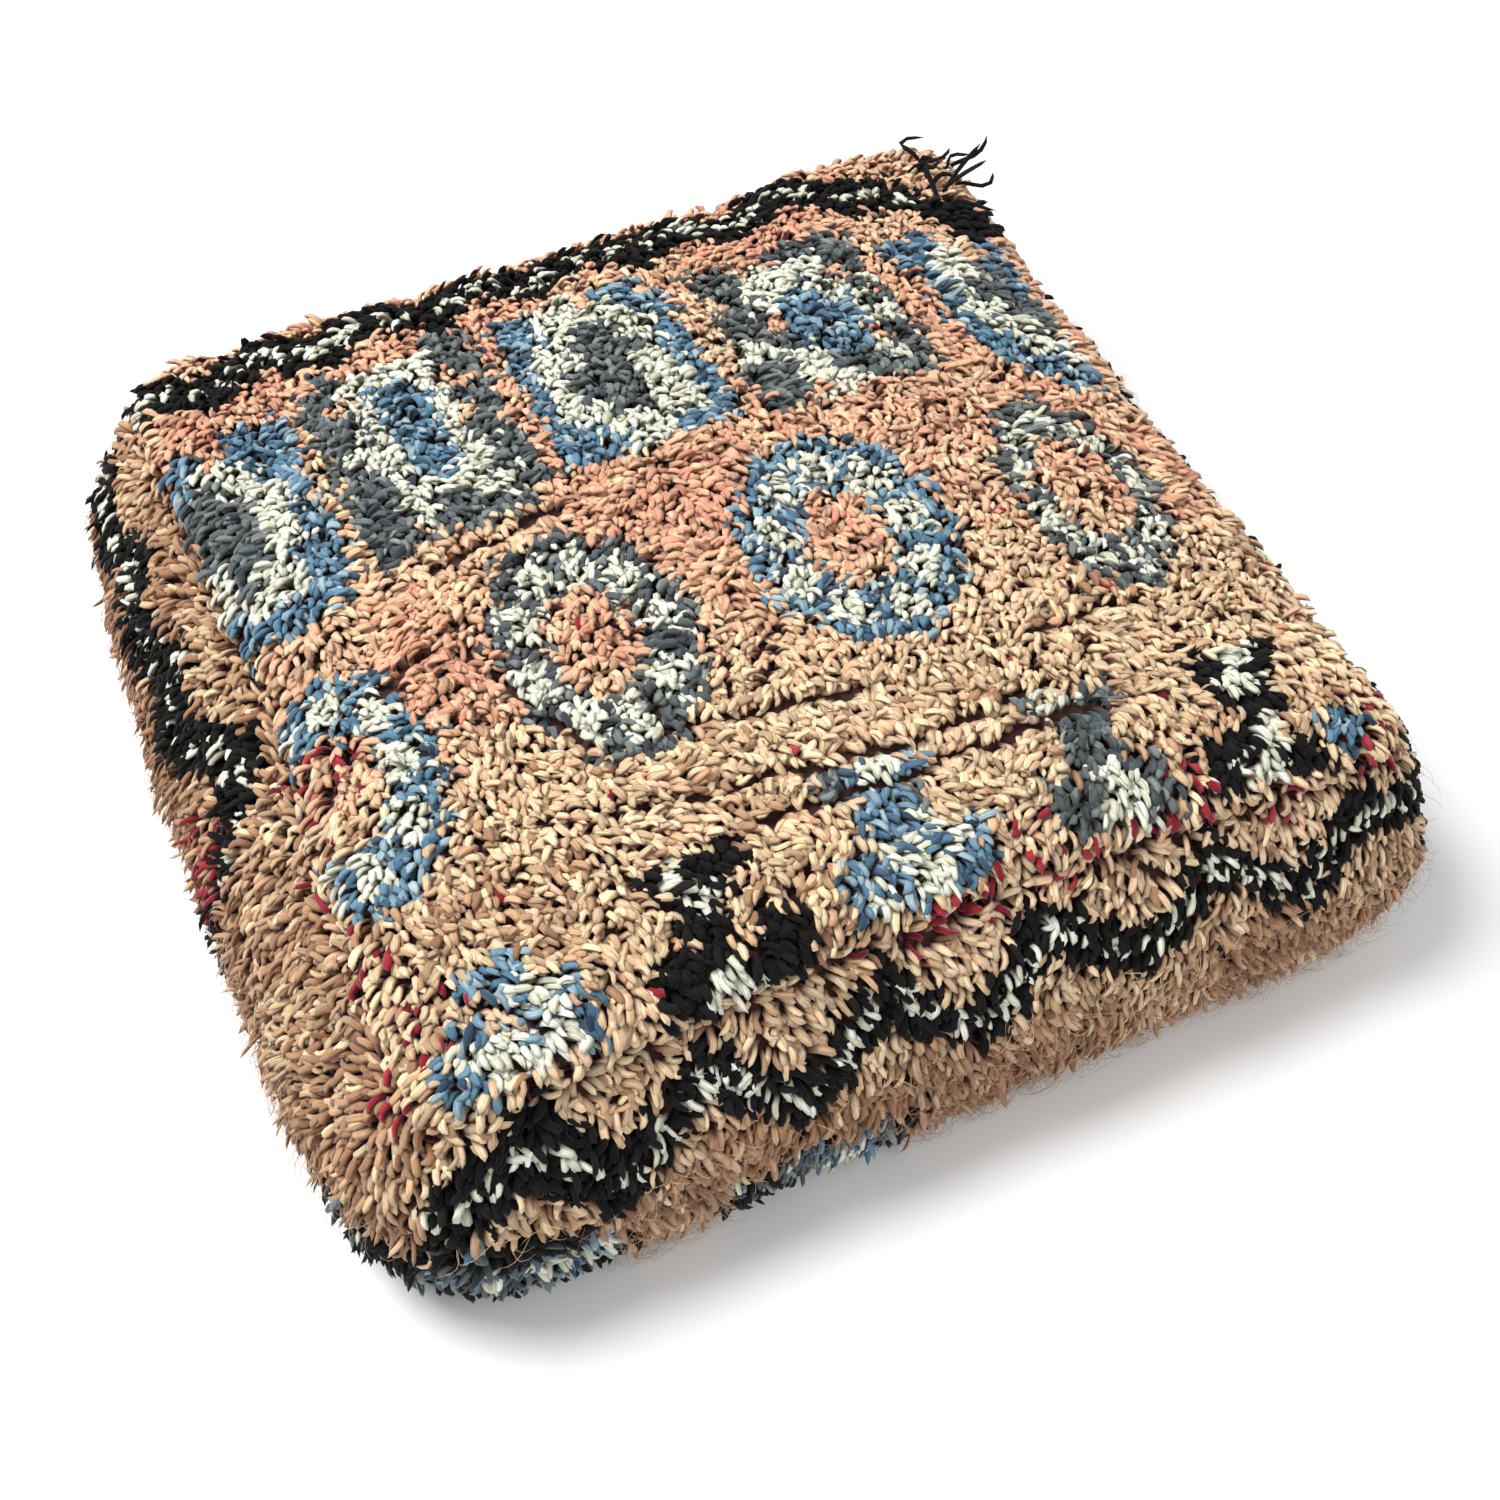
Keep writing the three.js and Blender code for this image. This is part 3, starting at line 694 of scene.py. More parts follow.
def side_dye(side, s, t, rng):
    """Tan towards the floor."""
    x, y = s * PANEL_HALF, t * SIDE_DROP
    if side == LEFT:
        base = 0.14 - 0.09 * smooth((t - 0.1) / 0.4)
    else:
        base = 0.34 - 0.27 * smooth((t - 0.15) / 0.45)
    lots = 0.10 * soft_noise(x, y, 6.0, 30 + side) + 0.06 * soft_noise(x, y, 2.0, 40 + side)
    return base + lots + rng.normal(0, DYE_SPREAD, len(s))


# ---- tufts ----

RINGS_PER_TUFT = 6
TUFT_SIDES = 5
TUFTS_PER_PIECE = 3300
TUFT_THICKNESS = 0.75  # of its width
TUFT_TWIST = 5.0
BEND_POWER = 1.2
# A tuft's width along it, as a share of its full width.
PROFILE_PLACES = (0, 0.2, 0.45, 0.75, 0.9, 1)
PROFILE_WIDTHS = (0.70, 0.88, 1.0, 0.94, 0.72, 0.15)
FIBRE_SCALE = 2.6  # of the fibre streaks round a tuft
FIBRE_SPREAD = 40  # sets each tuft's streaks apart from the others'


def unit(a):
    return a / np.maximum(np.linalg.norm(a, axis=-1, keepdims=True), 1e-9)


def tuft_faces():
    """Triangles of one tuft: a closed tube of rings that ends in a point."""
    found = []
    for ring_at in range(RINGS_PER_TUFT - 1):
        for k in range(TUFT_SIDES):
            a = ring_at * TUFT_SIDES + k
            b = ring_at * TUFT_SIDES + (k + 1) % TUFT_SIDES
            found.append((a, b, b + TUFT_SIDES))
            found.append((a, b + TUFT_SIDES, a + TUFT_SIDES))
    last = (RINGS_PER_TUFT - 1) * TUFT_SIDES
    tip = RINGS_PER_TUFT * TUFT_SIDES
    for k in range(TUFT_SIDES):
        found.append((last + k, last + (k + 1) % TUFT_SIDES, tip))
    for k in range(1, TUFT_SIDES - 1):
        found.append((0, k + 1, k))
    return np.array(found)


TUFT_FACES = tuft_faces()
POINTS_PER_TUFT = RINGS_PER_TUFT * TUFT_SIDES + 1
TUFT_ANGLES = 2 * math.pi * np.arange(TUFT_SIDES) / TUFT_SIDES
SHARES = np.linspace(0, 1, RINGS_PER_TUFT + 1)
# What a tuft's points are to its shading: how far along it they lie, and how far to its top and side.
ALONG = np.concatenate([np.repeat(SHARES[:-1], TUFT_SIDES), [1.0]])
CREST = np.concatenate([np.tile(np.sin(TUFT_ANGLES), RINGS_PER_TUFT), [0.5]])
BESIDE = np.concatenate([np.tile(np.cos(TUFT_ANGLES), RINGS_PER_TUFT), [0.0]])


def grow(roots, normal, lean, sizes, rng):
    """Vertices of the tufts, and each one's place in the fibre pattern.

    sizes are length, width, start, end and curl. A tuft leaves the ground at the angle start from the
    normal, has bent to the angle end at its tip, and curls aside.
    """
    length, width, start, end, curl = sizes
    n = len(roots)
    bend = start[:, None] + (end - start)[:, None] * SHARES[None, :] ** BEND_POWER
    aside = unit(np.cross(normal, lean))
    turns = 1.5 + 2.5 * rng.random((n, 1))
    wave = curl[:, None] * np.sin(SHARES[None, :] * turns * math.pi / 2 + rng.random((n, 1)))
    heading = unit(
        normal[:, None] * np.cos(bend)[..., None]
        + lean[:, None] * np.sin(bend)[..., None]
        + aside[:, None] * wave[..., None]
    )
    step = heading * (length / RINGS_PER_TUFT)[:, None, None]
    centre = roots[:, None] + np.concatenate([np.zeros((n, 1, 3)), np.cumsum(step[:, :-1], 1)], 1)

    beside = unit(aside[:, None] - heading * np.sum(aside[:, None] * heading, -1, keepdims=True))
    above = np.cross(heading, beside)
    profile = np.interp(SHARES, PROFILE_PLACES, PROFILE_WIDTHS)
    theta = TUFT_ANGLES
    phase = rng.random((n, 1, 1)) * 2 * math.pi
    twist = (rng.random((n, 1, 1)) - 0.5) * TUFT_TWIST * SHARES[None, :, None]
    two_lobes = 0.11 * np.cos(2 * theta[None, None] + phase + twist)
    three_lobes = 0.09 * np.cos(3 * theta[None, None] - 2 * phase + twist)
    radius = (width / 2)[:, None, None] * profile[None, :, None] * (1 + two_lobes + three_lobes)
    points = (
        centre[:, :, None]
        + beside[:, :, None] * (radius * np.cos(theta))[..., None]
        + above[:, :, None] * (TUFT_THICKNESS * radius * np.sin(theta))[..., None]
    )
    rings = points[:, :-1].reshape(n, -1, 3)
    verts = np.concatenate([rings, centre[:, -1:]], 1)
    around = np.stack([FIBRE_SCALE * BESIDE, FIBRE_SCALE * CREST, ALONG], -1)
    fibre = around[None] + rng.random((n, 1, 3)) * FIBRE_SPREAD
    return verts, fibre


FLOOR_CLEAR = 0.004


def above_floor(points):
    """Wool that would reach below the floor is pressed flat just above it."""
    z = points[..., 2]
    low = np.minimum(z, FLOOR_CLEAR)
    points[..., 2] = np.where(z < FLOOR_CLEAR, FLOOR_CLEAR * np.exp((low - FLOOR_CLEAR) / FLOOR_CLEAR), z)
    return points


def set_attributes(mesh, **lots):
    """Stores a number for each point, or a place in the fibre pattern."""
    for name, values in lots.items():
        kind, key = ("FLOAT_VECTOR", "vector") if name == "fibre" else ("FLOAT", "value")
        made = mesh.attributes.new(name, kind, "POINT")
        made.data.foreach_set(key, np.ascontiguousarray(values, dtype=np.float32).ravel())


def pile_piece(name, verts, fibre, tone, dye, yarn):
    n = len(verts)
    faces = (TUFT_FACES[None] + (np.arange(n) * POINTS_PER_TUFT)[:, None, None]).reshape(-1, 3)
    piece = mesh_object(name, verts, faces, YARNS[yarn])
    tone = np.repeat(tone, POINTS_PER_TUFT)
    dye = np.repeat(np.clip(dye, 0, 1), POINTS_PER_TUFT)
    along, crest = np.tile(ALONG, n), np.tile(CREST, n)
    set_attributes(piece.data, along=along, crest=crest, tone=tone, dye=dye, fibre=fibre)
    return piece


def along_surface(lean, normal):
    """The directions lean, laid into the surface."""
    return unit(lean - normal * np.sum(lean * normal, -1, keepdims=True))


ROOT_DEPTH = 0.001  # of the tufts and threads in the ground weave
TONE_SPREAD = 0.25


def plant(panel, surface, a, b, codes, dye, lean, sizes, rng):
    """Grows the tufts of one panel and splits them by yarn into pieces of a moderate size."""
    roots = surface(a, b, GROUND_DEPTH + ROOT_DEPTH)
    normal = normal_of(surface, a, b)
    verts, fibre = grow(roots, normal, along_surface(lean, normal), sizes, rng)
    verts = above_floor(verts)
    tone = np.clip(rng.normal(0.5, TONE_SPREAD, len(a)), 0, 1)
    pieces = []
    for letter, yarn in YARN_OF.items():
        found = np.flatnonzero(codes == letter)
        parts = max(1, math.ceil(len(found) / TUFTS_PER_PIECE))
        for k, part in enumerate(np.array_split(found, parts)):
            if len(part) == 0:
                continue
            name = f"pile_{panel}_{yarn}" + (f"_{k + 1}" if parts > 1 else "")
            pieces.append(pile_piece(name, verts[part], fibre[part], tone[part], dye[part], yarn))
    return pieces


KNOT_JITTER = 0.28  # of the pitch
KNOT_MARGIN = 0.001  # of a panel's length


def rows_of(length_a, length_b, pitch_a, pitch_b, low, high, rng):
    """Knots in staggered rows over a panel, as two parameters that run from low to high."""
    rows = int(length_b / pitch_b)
    columns = int(length_a / pitch_a)
    j, i = np.meshgrid(np.arange(rows), np.arange(columns), indexing="ij")
    a = (i + 0.5 + 0.5 * (j % 2) - 0.25 + rng.normal(0, KNOT_JITTER, i.shape)) / columns
    b = (j + 0.5 + rng.normal(0, KNOT_JITTER, i.shape)) / rows
    a = low[0] + (high[0] - low[0]) * np.clip(a, KNOT_MARGIN, 1 - KNOT_MARGIN)
    b = low[1] + (high[1] - low[1]) * np.clip(b, KNOT_MARGIN, 1 - KNOT_MARGIN)
    return a.ravel(), b.ravel()


TOP_PITCH = (0.0039, 0.0045)
SIDE_PITCH = (0.0044, 0.0051)
TOP_SPAN = 0.60
SIDE_SPAN = 0.62
SIDE_FALL = 0.20
TIP_REACH = 0.45  # how far a tuft's tip lies from its root, in the pattern's centimetres
PILE_REACH = 0.997  # of each half panel, so that the pile meets over the seams

# Where the pile lies parted, as straight lines on the top panel in centimetres: x, y to x, y.
PARTINGS = (
    (-13.0, -18.6, -2.0, -20.4),
    (-2.0, -20.4, 11.0, -20.8),
    (-8.0, -22.2, 14.0, -22.6),
    (-19.0, -4.0, -13.0, -15.5),
    (-18.5, 3.2, -9.5, 4.4),
    (10.0, -17.0, 20.0, -16.2),
    (-9.0, -14.6, 2.0, -16.6),
    (-25.0, -4.5, -17.5, -2.0),
)
PARTING_REACH = 0.85
PARTING_LEAN = 2.5
BARE_PUSH = 0.93  # where the pile is pushed apart more than this, the ground weave shows

# Two numbers for each draw, and what is added to it where the top's pile is parted or a side's is shaggy.
# They are the mean and the spread of length, width and end, and the least and the most of start.
TOP_TUFTS = {
    "length": (0.0160, 0.0020, -0.002),
    "width": (0.0045, 0.0007, 0.0),
    "start": (-0.1, 0.35, 0.6),
    "end": (2.35, 0.50, 0.0),
}
SIDE_TUFTS = {
    "length": (0.0154, 0.0020, 0.006),
    "width": (0.0041, 0.0006, -0.0012),
    "start": (-0.1, 0.4, 0.5),
    "end": (2.20, 0.45, -0.45),
}


def tuft_sizes(kind, share, x, y, seed, rng):
    """Length, width, start, end and curl of each tuft."""
    sizes = []
    for key, (first, second, added) in kind.items():
        draw = rng.uniform if key == "start" else rng.normal
        sizes.append(draw(first, second, len(x)) + added * share)
    curl = 0.8 * soft_noise(x, y, 1.2, seed) + rng.normal(0, 0.8, len(x))
    return (*sizes, curl)


def parted(x, y):
    """How strongly the pile at each place leans away from a parting, as a vector."""
    push = np.zeros((len(x), 2))
    for x0, y0, x1, y1 in PARTINGS:
        length = math.hypot(x1 - x0, y1 - y0)
        along_x, along_y = (x1 - x0) / length, (y1 - y0) / length
        along = (x - x0) * along_x + (y - y0) * along_y
        wander = 0.35 * soft_noise(along, np.zeros_like(along), 2.5, 60)
        off = (y - y0) * along_x - (x - x0) * along_y + wander
        share = smooth(1 - np.abs(off) / PARTING_REACH) * ((along > 0) & (along < length))
        push += (share * np.sign(off))[:, None] * np.array([-along_y, along_x])
    return push


def top_pile():
    rng = np.random.default_rng(11)
    low, high = (-PILE_REACH, -PILE_REACH), (PILE_REACH, PILE_REACH)
    u, v = rows_of(TOP_SPAN, TOP_SPAN, *TOP_PITCH, low, high, rng)
    apart = parted(u * PANEL_HALF, v * PANEL_HALF)
    kept = np.hypot(*apart.T) <= BARE_PUSH
    u, v, apart = u[kept], v[kept], apart[kept]
    n = len(u)
    x, y = u * PANEL_HALF, v * PANEL_HALF
    heading = -math.pi / 2 + 1.1 * soft_noise(x, y, 4.5, 7) + 0.9 * soft_noise(x, y, 1.5, 8)
    heading = heading + rng.normal(0, 0.24, n)
    lean = np.stack([np.cos(heading), np.sin(heading), np.zeros(n)], -1)
    edge = smooth((np.maximum(np.abs(u), np.abs(v)) - 0.93) / 0.06)[:, None]
    outward = unit(np.stack([u**5, v**5, np.zeros(n)], -1) + 1e-6)
    lean = lean * (1 - 0.6 * edge) + outward * 0.7 * edge
    lean[:, :2] += PARTING_LEAN * apart
    lean = unit(lean)
    tip = TIP_REACH / PANEL_HALF
    codes = top_pattern(u + tip * lean[:, 0], v + tip * lean[:, 1], rng)
    sizes = tuft_sizes(TOP_TUFTS, np.hypot(*apart.T), x, y, 9, rng)
    return plant("top", top_at, u, v, codes, top_dye(u, v, rng), lean, sizes, rng)


def up_side(side):
    """A side as a surface whose second parameter runs upwards."""

    def surface(s, up, depth=0.0):
        return side_at(side, s, 1 - up, depth)

    return surface


def side_pile(side):
    rng = np.random.default_rng(20 + side)
    low, high = (-PILE_REACH, 0.02), (PILE_REACH, PILE_REACH)
    s, up = rows_of(SIDE_SPAN, SIDE_FALL, *SIDE_PITCH, low, high, rng)
    t = 1 - up
    n = len(s)
    x, y = s * PANEL_HALF, t * SIDE_DROP
    shaggy = smooth((t - 0.22) / 0.3) if side == LEFT else 0.7 * smooth((t - 0.35) / 0.4)
    seam = smooth((0.06 - t) / 0.05)
    out_x, out_y = turned(side, 0.0, -1.0)
    along_x, along_y = turned(side, 1.0, 0.0)
    stray = 0.8 * soft_noise(x, y, 4.0, 50 + side) + 0.7 * soft_noise(x, y, 1.5, 54 + side)
    stray = stray + rng.normal(0, 0.35, n)
    lean = np.stack([along_x * stray, along_y * stray, 1.1 * seam - 1], -1)
    codes = side_pattern(side, s, np.clip(t + TIP_REACH / SIDE_DROP, 0, 1), rng)
    sizes = tuft_sizes(SIDE_TUFTS, shaggy, x, y, 58 + side, rng)
    return plant(SIDES[side], up_side(side), s, up, codes, side_dye(side, s, t, rng), lean, sizes, rng)


# ---- tubes: loose fibres, seam threads and stitches ----


def tube_mesh(lines, radii, sides, closed):
    """Vertices and triangles of tubes along lines, an array of (tubes, points, 3)."""
    n, count = lines.shape[:2]
    if closed:
        heading = unit(np.roll(lines, -1, 1) - np.roll(lines, 1, 1))
    else:
        heading = unit(np.gradient(lines, axis=1))
    guess = np.where(np.abs(heading[..., 2:]) > 0.8, np.array([1.0, 0.3, 0.0]), np.array([0.0, 0.0, 1.0]))
    beside = unit(np.cross(heading, guess))
    above = np.cross(heading, beside)
    angle = 2 * math.pi * np.arange(sides) / sides
    circle = beside[:, :, None] * np.cos(angle)[:, None] + above[:, :, None] * np.sin(angle)[:, None]
    reach = np.broadcast_to(radii, (n, count))[:, :, None, None]
    verts = (lines[:, :, None] + circle * reach).reshape(n, -1, 3)
    faces = []
    for i in range(count if closed else count - 1):
        for k in range(sides):
            a, b = i * sides + k, i * sides + (k + 1) % sides
            c, d = ((i + 1) % count) * sides + (k + 1) % sides, ((i + 1) % count) * sides + k
            faces += [(a, c, b), (a, d, c)]
    if not closed:
        last = (count - 1) * sides
        for k in range(1, sides - 1):
            faces += [(0, k, k + 1), (last, last + k + 1, last + k)]
    faces = (np.array(faces)[None] + (np.arange(n) * count * sides)[:, None, None]).reshape(-1, 3)
    return verts.reshape(-1, 3), faces


FIBRES_PER_SIDE = 1500
FIBRE_RANGE = (0.04, 0.62)  # of a side's height, from the floor
FIBRE_DEPTH = 0.004
FIBRE_LIFT = 0.009
FIBRE_POINTS = 6
FIBRE_SIDES = 3
FIBRE_RADIUS = 0.00012


def side_fibres(side):
    """Single fibres that have worked loose from a side's field and lie over the pile or stand off it."""
    rng = np.random.default_rng(82 + side)
    s = rng.uniform(-0.98, 0.98, FIBRES_PER_SIDE)
    up = rng.uniform(*FIBRE_RANGE, FIBRES_PER_SIDE)
    plain = side_pattern(side, s, 1 - up, rng) == "."
    s, up = s[plain], up[plain]
    count = len(s)
    surface = up_side(side)
    roots = surface(s, up, FIBRE_DEPTH)
    normal = normal_of(surface, s, up)
    along_x, along_y = turned(side, 1.0, 0.0)
    stray = rng.normal(0, 0.9, count)
    lean = unit(np.stack([along_x * stray, along_y * stray, -rng.uniform(0.2, 1.0, count)], -1))
    aside = np.cross(normal, lean)
    share = np.linspace(0, 1, FIBRE_POINTS)
    length = rng.uniform(0.009, 0.020, count)
    rise = rng.uniform(0.2, 1.0, count) * FIBRE_LIFT
    sway = rng.normal(0, 0.35, (count, 1)) * np.sin(share * rng.uniform(1.5, 5.0, (count, 1)))
    lines = (
        roots[:, None]
        + lean[:, None] * (length[:, None] * share)[..., None]
        + normal[:, None] * (rise[:, None] * np.sin(share * 2.2))[..., None]
        + aside[:, None] * (length[:, None] * sway)[..., None]
    )
    radii = FIBRE_RADIUS * np.interp(share, [0, 0.6, 1], [1.0, 0.9, 0.35])
    verts, faces = tube_mesh(above_floor(lines), radii, FIBRE_SIDES, False)
    piece = mesh_object(f"fibres_{SIDES[side]}", verts, faces, YARNS["field"])
    points = FIBRE_POINTS * FIBRE_SIDES
    tone = np.repeat(rng.uniform(0.5, 1.0, count), points)
    dye = np.repeat(side_dye(side, s, 1 - up, rng), points)
    fibre = np.repeat(rng.random((count, 3)) * FIBRE_SPREAD, points, axis=0)
    along, crest = np.full(count * points, 1.0), np.full(count * points, 0.6)
    set_attributes(piece.data, along=along, crest=crest, tone=tone, dye=dye, fibre=fibre)
    return piece


CORNER_THREADS = 12


def corner_threads():
    """Long black ends that curl out of the back right corner of the top."""
    rng = np.random.default_rng(95)
    n = CORNER_THREADS
    u, v = rng.uniform(0.84, 0.985, n), rng.uniform(0.68, 0.90, n)
    roots = top_at(u, v, 0.006)
    normal = normal_of(top_at, u, v)
    heading = rng.normal(0.35, 0.4, n)
    lean = np.stack([np.cos(heading), np.sin(heading), rng.normal(0.1, 0.2, n)], -1)
    sizes = (
        rng.uniform(0.026, 0.040, n),
        rng.normal(0.0034, 0.0005, n),
        rng.uniform(0.8, 1.2, n),
        rng.normal(1.3, 0.3, n),
        rng.normal(0, 1.6, n),
    )
    verts, fibre = grow(roots, normal, along_surface(lean, normal), sizes, rng)
    return pile_piece("pile_corner_threads", verts, fibre, rng.random(n), np.zeros(n), "black")


THREAD_RADIUS = 0.0011
STITCH_PITCH = 0.009
STITCH_RADIUS = 0.0008
STITCH_RISE = 0.0022
STITCH_ROUNDING = 0.0006
STITCH_SLANT = 0.35  # of the pitch
SEAM_WOOL = woven("seam_thread_wool", (70, 16, 22), (120, 30, 40), 900, 0.85)
MIDDLE = (0, 0, 0.08)  # of the cushion


def perimeter(t, depth, steps):
    """Points round all four sides at one height."""
    s = np.linspace(-1, 1, steps, endpoint=False)
    return np.concatenate([side_at(side, s, np.full(steps, t), depth) for side in range(4)])


def whip_stitches(upper, lower, outward):
    """Short arcs from one edge of a seam to the other."""
    middle = (upper + lower) / 2 + outward * STITCH_RISE
    near_upper = (upper + middle) / 2 + outward * STITCH_ROUNDING
    near_lower = (lower + middle) / 2 + outward * STITCH_ROUNDING
    return np.stack([upper, near_upper, middle, near_lower, lower], 1)


def seam_piece(name, line, closed, stitches, node):
    """The thread along a seam and its stitches, in place of the node."""
    thread, thread_faces = tube_mesh(line[None], THREAD_RADIUS, 8, closed)
    stitched, stitch_faces = tube_mesh(stitches, STITCH_RADIUS, 6, False)
    verts = np.concatenate([thread, stitched])
    faces = np.concatenate([thread_faces, stitch_faces + len(thread)])
    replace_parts(mesh_object(name, verts, faces, SEAM_WOOL), node)


def seam_round(name, t, t_above, t_below, depth_above, depth_below):
    steps = int(SIDE_SPAN / STITCH_PITCH)
    thread = perimeter(t, GROUND_DEPTH + ROOT_DEPTH, 4 * steps)
    upper = perimeter(t_above, depth_above, steps)
    lower = perimeter(t_below, depth_below, steps)
    slant = np.roll(lower, -1, 0) * STITCH_SLANT + lower * (1 - STITCH_SLANT)
    outward = unit((upper + lower) / 2 - np.array(MIDDLE))
    seam_piece(name, thread, True, whip_stitches(upper, slant, outward), f"{name}_thread")


def corner_seam(side):
    """The upright seam at the start of a side."""
    before = (side + 3) % 4
    t = np.linspace(0.02, 0.96, 18)
    end = np.full_like(t, -1.0)
    line = side_at(side, end, t, GROUND_DEPTH + ROOT_DEPTH)
    here = side_at(side, end + 0.02, t, GROUND_DEPTH - 0.0005)
    there = side_at(before, -end - 0.02, t, GROUND_DEPTH - 0.0005)
    outward = unit(line * np.array([1, 1, 0]))
    pair = f"{SIDES[before]}_{SIDES[side]}"
    stitches = whip_stitches(here, there, outward)
    seam_piece(f"corner_seam_{pair}", line, False, stitches, f"corner_seam_thread_{pair}")


def add_seams():
    seam_round("top_seam", 0.0, -0.015, 0.04, GROUND_DEPTH - 0.001, GROUND_DEPTH - 0.0005)
    seam_round("bottom_seam", 0.985, 0.96, 1.0, GROUND_DEPTH, GROUND_DEPTH + 0.006)
    for side in range(4):
        corner_seam(side)


# ---- base, zip and the inner case, on the CAD's own forms ----

BASE_RIM = 0.88  # of the base cloth's radius: past it the cloth stretches to the seam
BASE_TUCK = 0.004  # how far it is tucked under the pile's ground weave

# The slot over the zip, by the distance from its middle, and the hems beside it.
SLOT_HALF = 0.0064
SLOT_PLACES = (0.2, 0.22, 0.236)
SLOT_HALVES = (SLOT_HALF, 0.8 * SLOT_HALF, 0.0)
SLOT_HEM = 0.0126
ZIP_END = 0.203
CLOSING = 0.007  # how far past the zip the slot is quite shut
SHUT_HALF = 0.0002


def radius_towards(outline, x, y):
    """How far out an outline round the middle lies in the direction of each place."""
    angles = np.arctan2(outline[:, 1], outline[:, 0])
    return np.interp(np.arctan2(y, x), angles, np.hypot(outline[:, 0], outline[:, 1]), period=2 * math.pi)


def slot_shut(points):
    """The base cloth's slot is sewn shut past the zip."""
    x, y = np.abs(points[:, 0]), points[:, 1]
    slot = np.interp(x, SLOT_PLACES, SLOT_HALVES)
    shut = smooth((x - ZIP_END) / CLOSING) * (np.abs(y) < SLOT_HEM)
    share = np.clip((np.abs(y) - slot) / (SLOT_HEM - slot), 0, 1)
    hem = SHUT_HALF + share * (SLOT_HEM - SHUT_HALF)
    points[:, 1] = y + shut * (np.sign(y) * hem - y)
    return points


def stretched(points):
    """The base cloth reaches out to the bottom seam."""
    flat = points[:, :2]
    both = np.concatenate([flat, flat * (1, -1)])
    hull = both[convex_hull_2d([tuple(p) for p in both])]
    share = np.linspace(0, 1, 40, endpoint=False)[None, :, None]
    rim = (hull[:, None] * (1 - share) + np.roll(hull, -1, 0)[:, None] * share).reshape(-1, 2)
    seam = perimeter(1.0, GROUND_DEPTH + BASE_TUCK, 60)
    x, y = flat.T
    reach = radius_towards(rim, x, y)
    near_rim = smooth((np.hypot(x, y) / reach - BASE_RIM) / (1 - BASE_RIM))
    points[:, :2] *= (1 + (radius_towards(seam, x, y) / reach - 1) * near_rim)[:, None]
    return points


def base_form(points):
    return stretched(settled(slot_shut(points)))


CREASE_WIDTH = 0.016


def settled_copy(node, name, material, cuts, crease, form=settled):
    """A piece on its CAD solid's form, cut finer, settled with the cushion and slightly creased."""
    work = bmesh.new()
    work.from_mesh(NODES[node].data)
    work.transform(NODES[node].matrix_world)
    bmesh.ops.remove_doubles(work, verts=work.verts, dist=1e-6)
    for _ in range(cuts):
        bmesh.ops.subdivide_edges(work, edges=work.edges, cuts=1, use_grid_fill=True)
    work.verts.index_update()
    points = form(np.array([v.co[:] for v in work.verts]))
    level = np.abs([v.normal.z for v in work.verts]).round()
    x, y, z = points.T
    height = 0.7 * soft_noise(x + 3 * z, y - 2 * z, CREASE_WIDTH, 71)
    height = height + 0.3 * soft_noise(x - z, y + z, CREASE_WIDTH / 3, 72)
    points[:, 2] = np.maximum(points[:, 2] + crease * height * level, 0.0)
    faces = [[v.index for v in face.verts] for face in work.faces]
    work.free()
    piece = mesh_object(name, points, faces, material)
    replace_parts(piece, node)
    return piece


def add_inner():
    canvas = woven("base_canvas", (150, 134, 106), (206, 192, 162), 1300)
    cotton = woven("case_cotton", (196, 188, 170), (240, 235, 222), 1500)
    fibre = woven("stuffing_fibre", (214, 210, 200), (248, 246, 240), 420, 0.95, 0.8)
    tape = woven("zip_tape", (132, 116, 88), (190, 174, 142), 1900)
    for half in ("front", "back"):
        cloth = settled_copy(
            f"base_cloth_{half}", f"base_canvas_{half}", canvas, 2, 0.0004, base_form
        )
        strip = settled_copy(f"zip_tape_{half}", f"zip_webbing_{half}", tape, 1, 0.0)
    for part, flat in (("top", (0.56, 0.56)), ("boxing", (2.2, 0.15)), ("bottom", (0.56, 0.56))):
        cloth = settled_copy(f"inner_case_{part}", f"case_{part}", cotton, 1, 0.0002)
    filling = settled_copy("stuffing", "case_filling", fibre, 1, 0.0)


def add_zip():
    """The chains, the stops, the slider and its pull keep the CAD's shapes."""
    nylon = moulded("zip_chain_nylon", (176, 160, 128), (206, 192, 160))
    brass = metal("zip_brass", (132, 100, 52), (196, 160, 92))
    looks = {"zip_chain_front": nylon, "zip_chain_back": nylon}
    for node in ("zip_slider", "zip_pull", "zip_top_stop", "zip_bottom_stop"):
        looks[node] = brass
    for node, material in looks.items():
        NODES[node].data.materials.clear()
        NODES[node].data.materials.append(material)


# ---- build ----

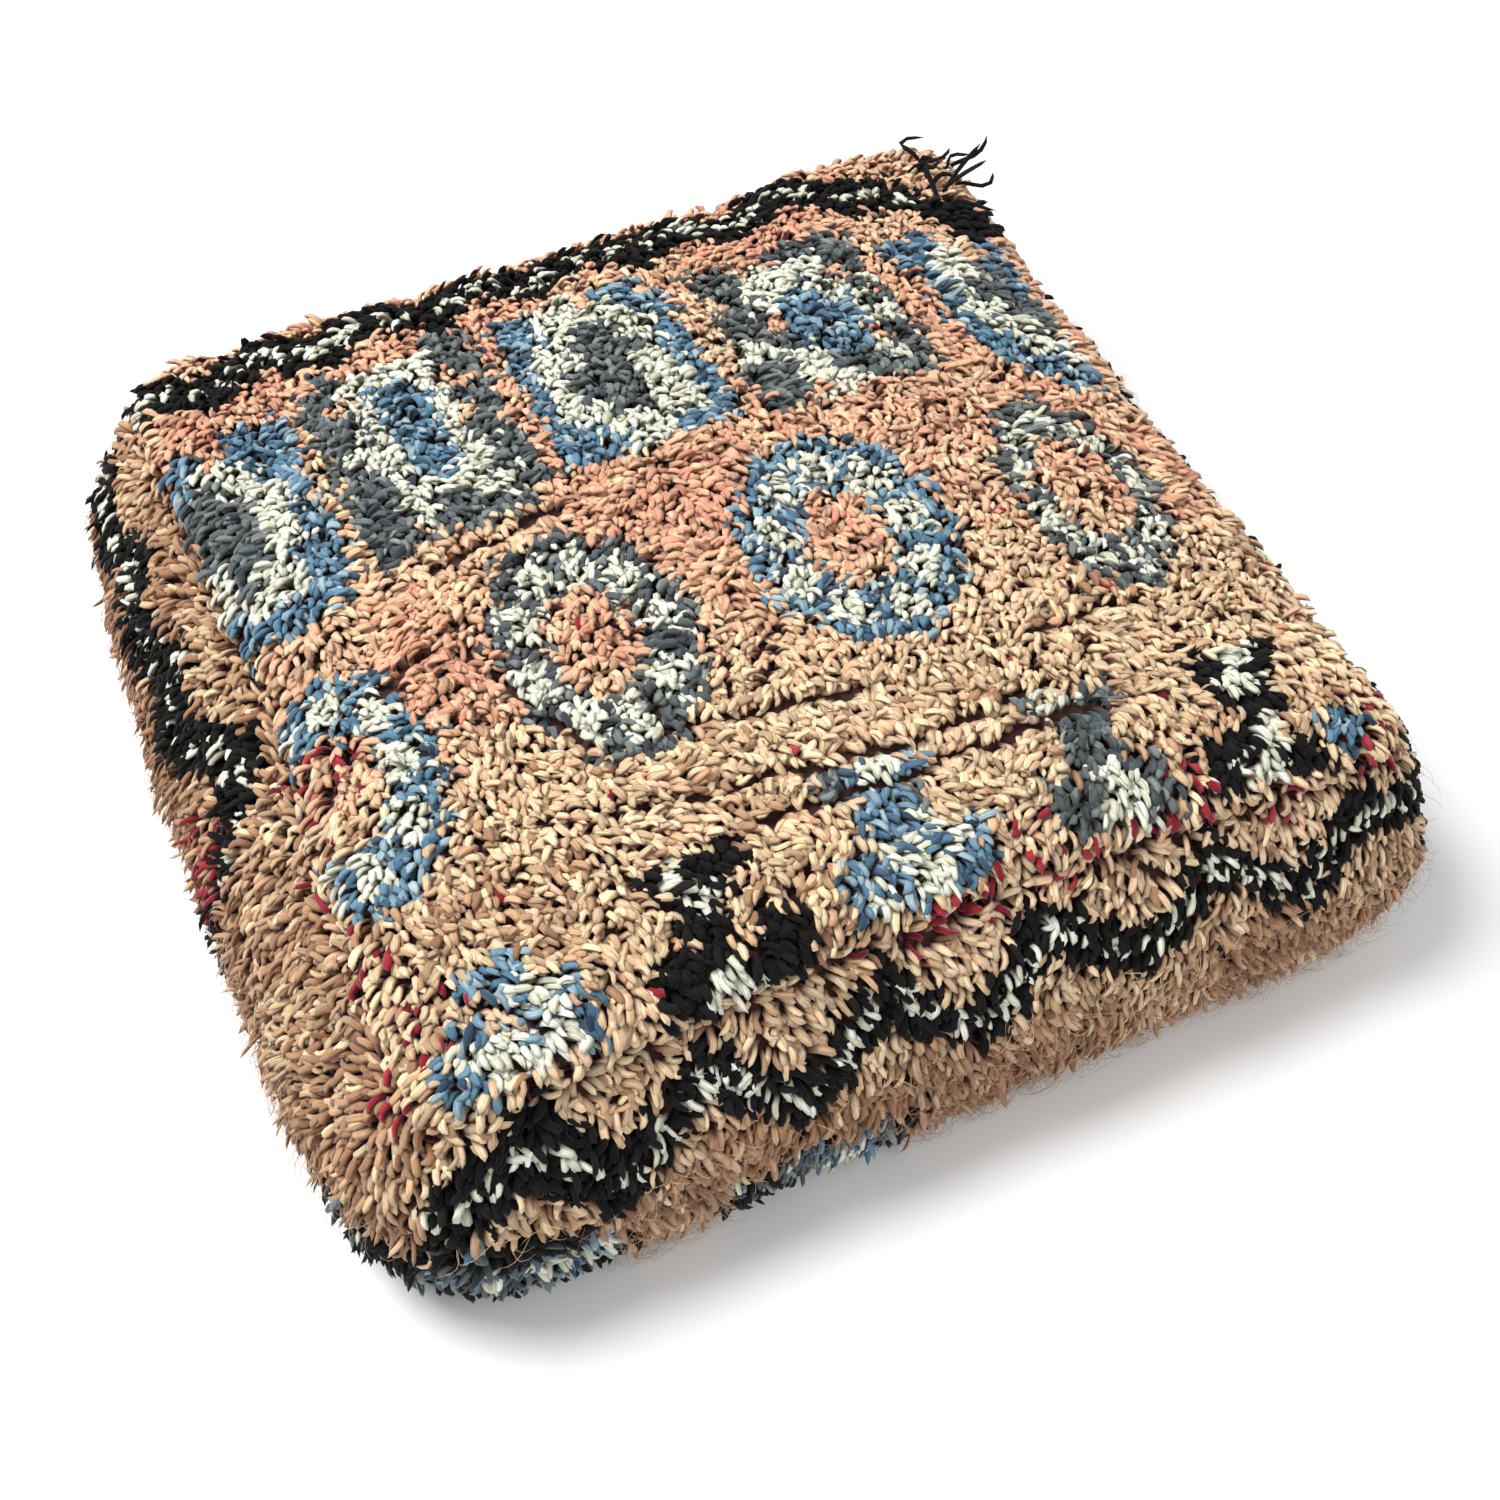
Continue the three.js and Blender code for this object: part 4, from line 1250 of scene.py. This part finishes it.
FLAT_SIZES = dict.fromkeys(SIDES, (0.58, 0.17)) | {"top": (0.56, 0.56), "left": (0.58, 0.18)}

for panel, ground in add_ground().items():
    if panel == "top":
        pile = [*top_pile(), corner_threads()]
    else:
        pile = [*side_pile(SIDES.index(panel)), side_fibres(SIDES.index(panel))]
    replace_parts(ground, f"rug_{panel}_panel")
add_seams()
add_inner()
add_zip()

# ---- stage and light ----


FLOOR_REACH = 6.0
FLOOR_GAP = 0.0006  # below the cushion
LIGHT_TARGET = Vector((0, 0, 0.1))
WORLD_STRENGTH = 0.46


def add_floor():
    n = Nodes("studio_floor", 0.9)
    shade = n.span(n.noise(n.place(), scale=3.0), low=0.0, high=1.0, to_low=0.93, to_high=0.95)
    colour = n.add("CombineColor")
    for socket in colour.inputs[:3]:
        n.link(shade, socket)
    n.finish(colour.outputs[0])
    mesh = bpy.data.meshes.new("floor")
    corners = [(x * FLOOR_REACH, y * FLOOR_REACH, 0) for x, y in ((-1, -1), (1, -1), (1, 1), (-1, 1))]
    mesh.from_pydata(corners, [], [(0, 1, 2, 3)])
    mesh.materials.append(n.material)
    floor = bpy.data.objects.new("floor", mesh)
    floor.location.z = -FLOOR_GAP
    bpy.context.scene.collection.objects.link(floor)


def add_light(name, place, size, power):
    data = bpy.data.lights.new(name, "AREA")
    data.shape = "DISK"
    data.size = size
    data.energy = power
    lamp = bpy.data.objects.new(name, data)
    lamp.location = place
    lamp.rotation_euler = (LIGHT_TARGET - Vector(place)).to_track_quat("-Z", "Y").to_euler()
    bpy.context.scene.collection.objects.link(lamp)


def add_lights():
    world = bpy.data.worlds.new("studio")
    world.use_nodes = True
    background = world.node_tree.nodes["Background"]
    background.inputs["Color"].default_value = (1, 1, 1, 1)
    background.inputs["Strength"].default_value = WORLD_STRENGTH
    bpy.context.scene.world = world
    add_light("key", (-0.8, 0.45, 1.9), 1.2, 49)
    add_light("fill", (0.7, -1.5, 1.5), 1.6, 13)


add_floor()
add_lights()
bpy.context.scene.view_settings.view_transform = "Standard"
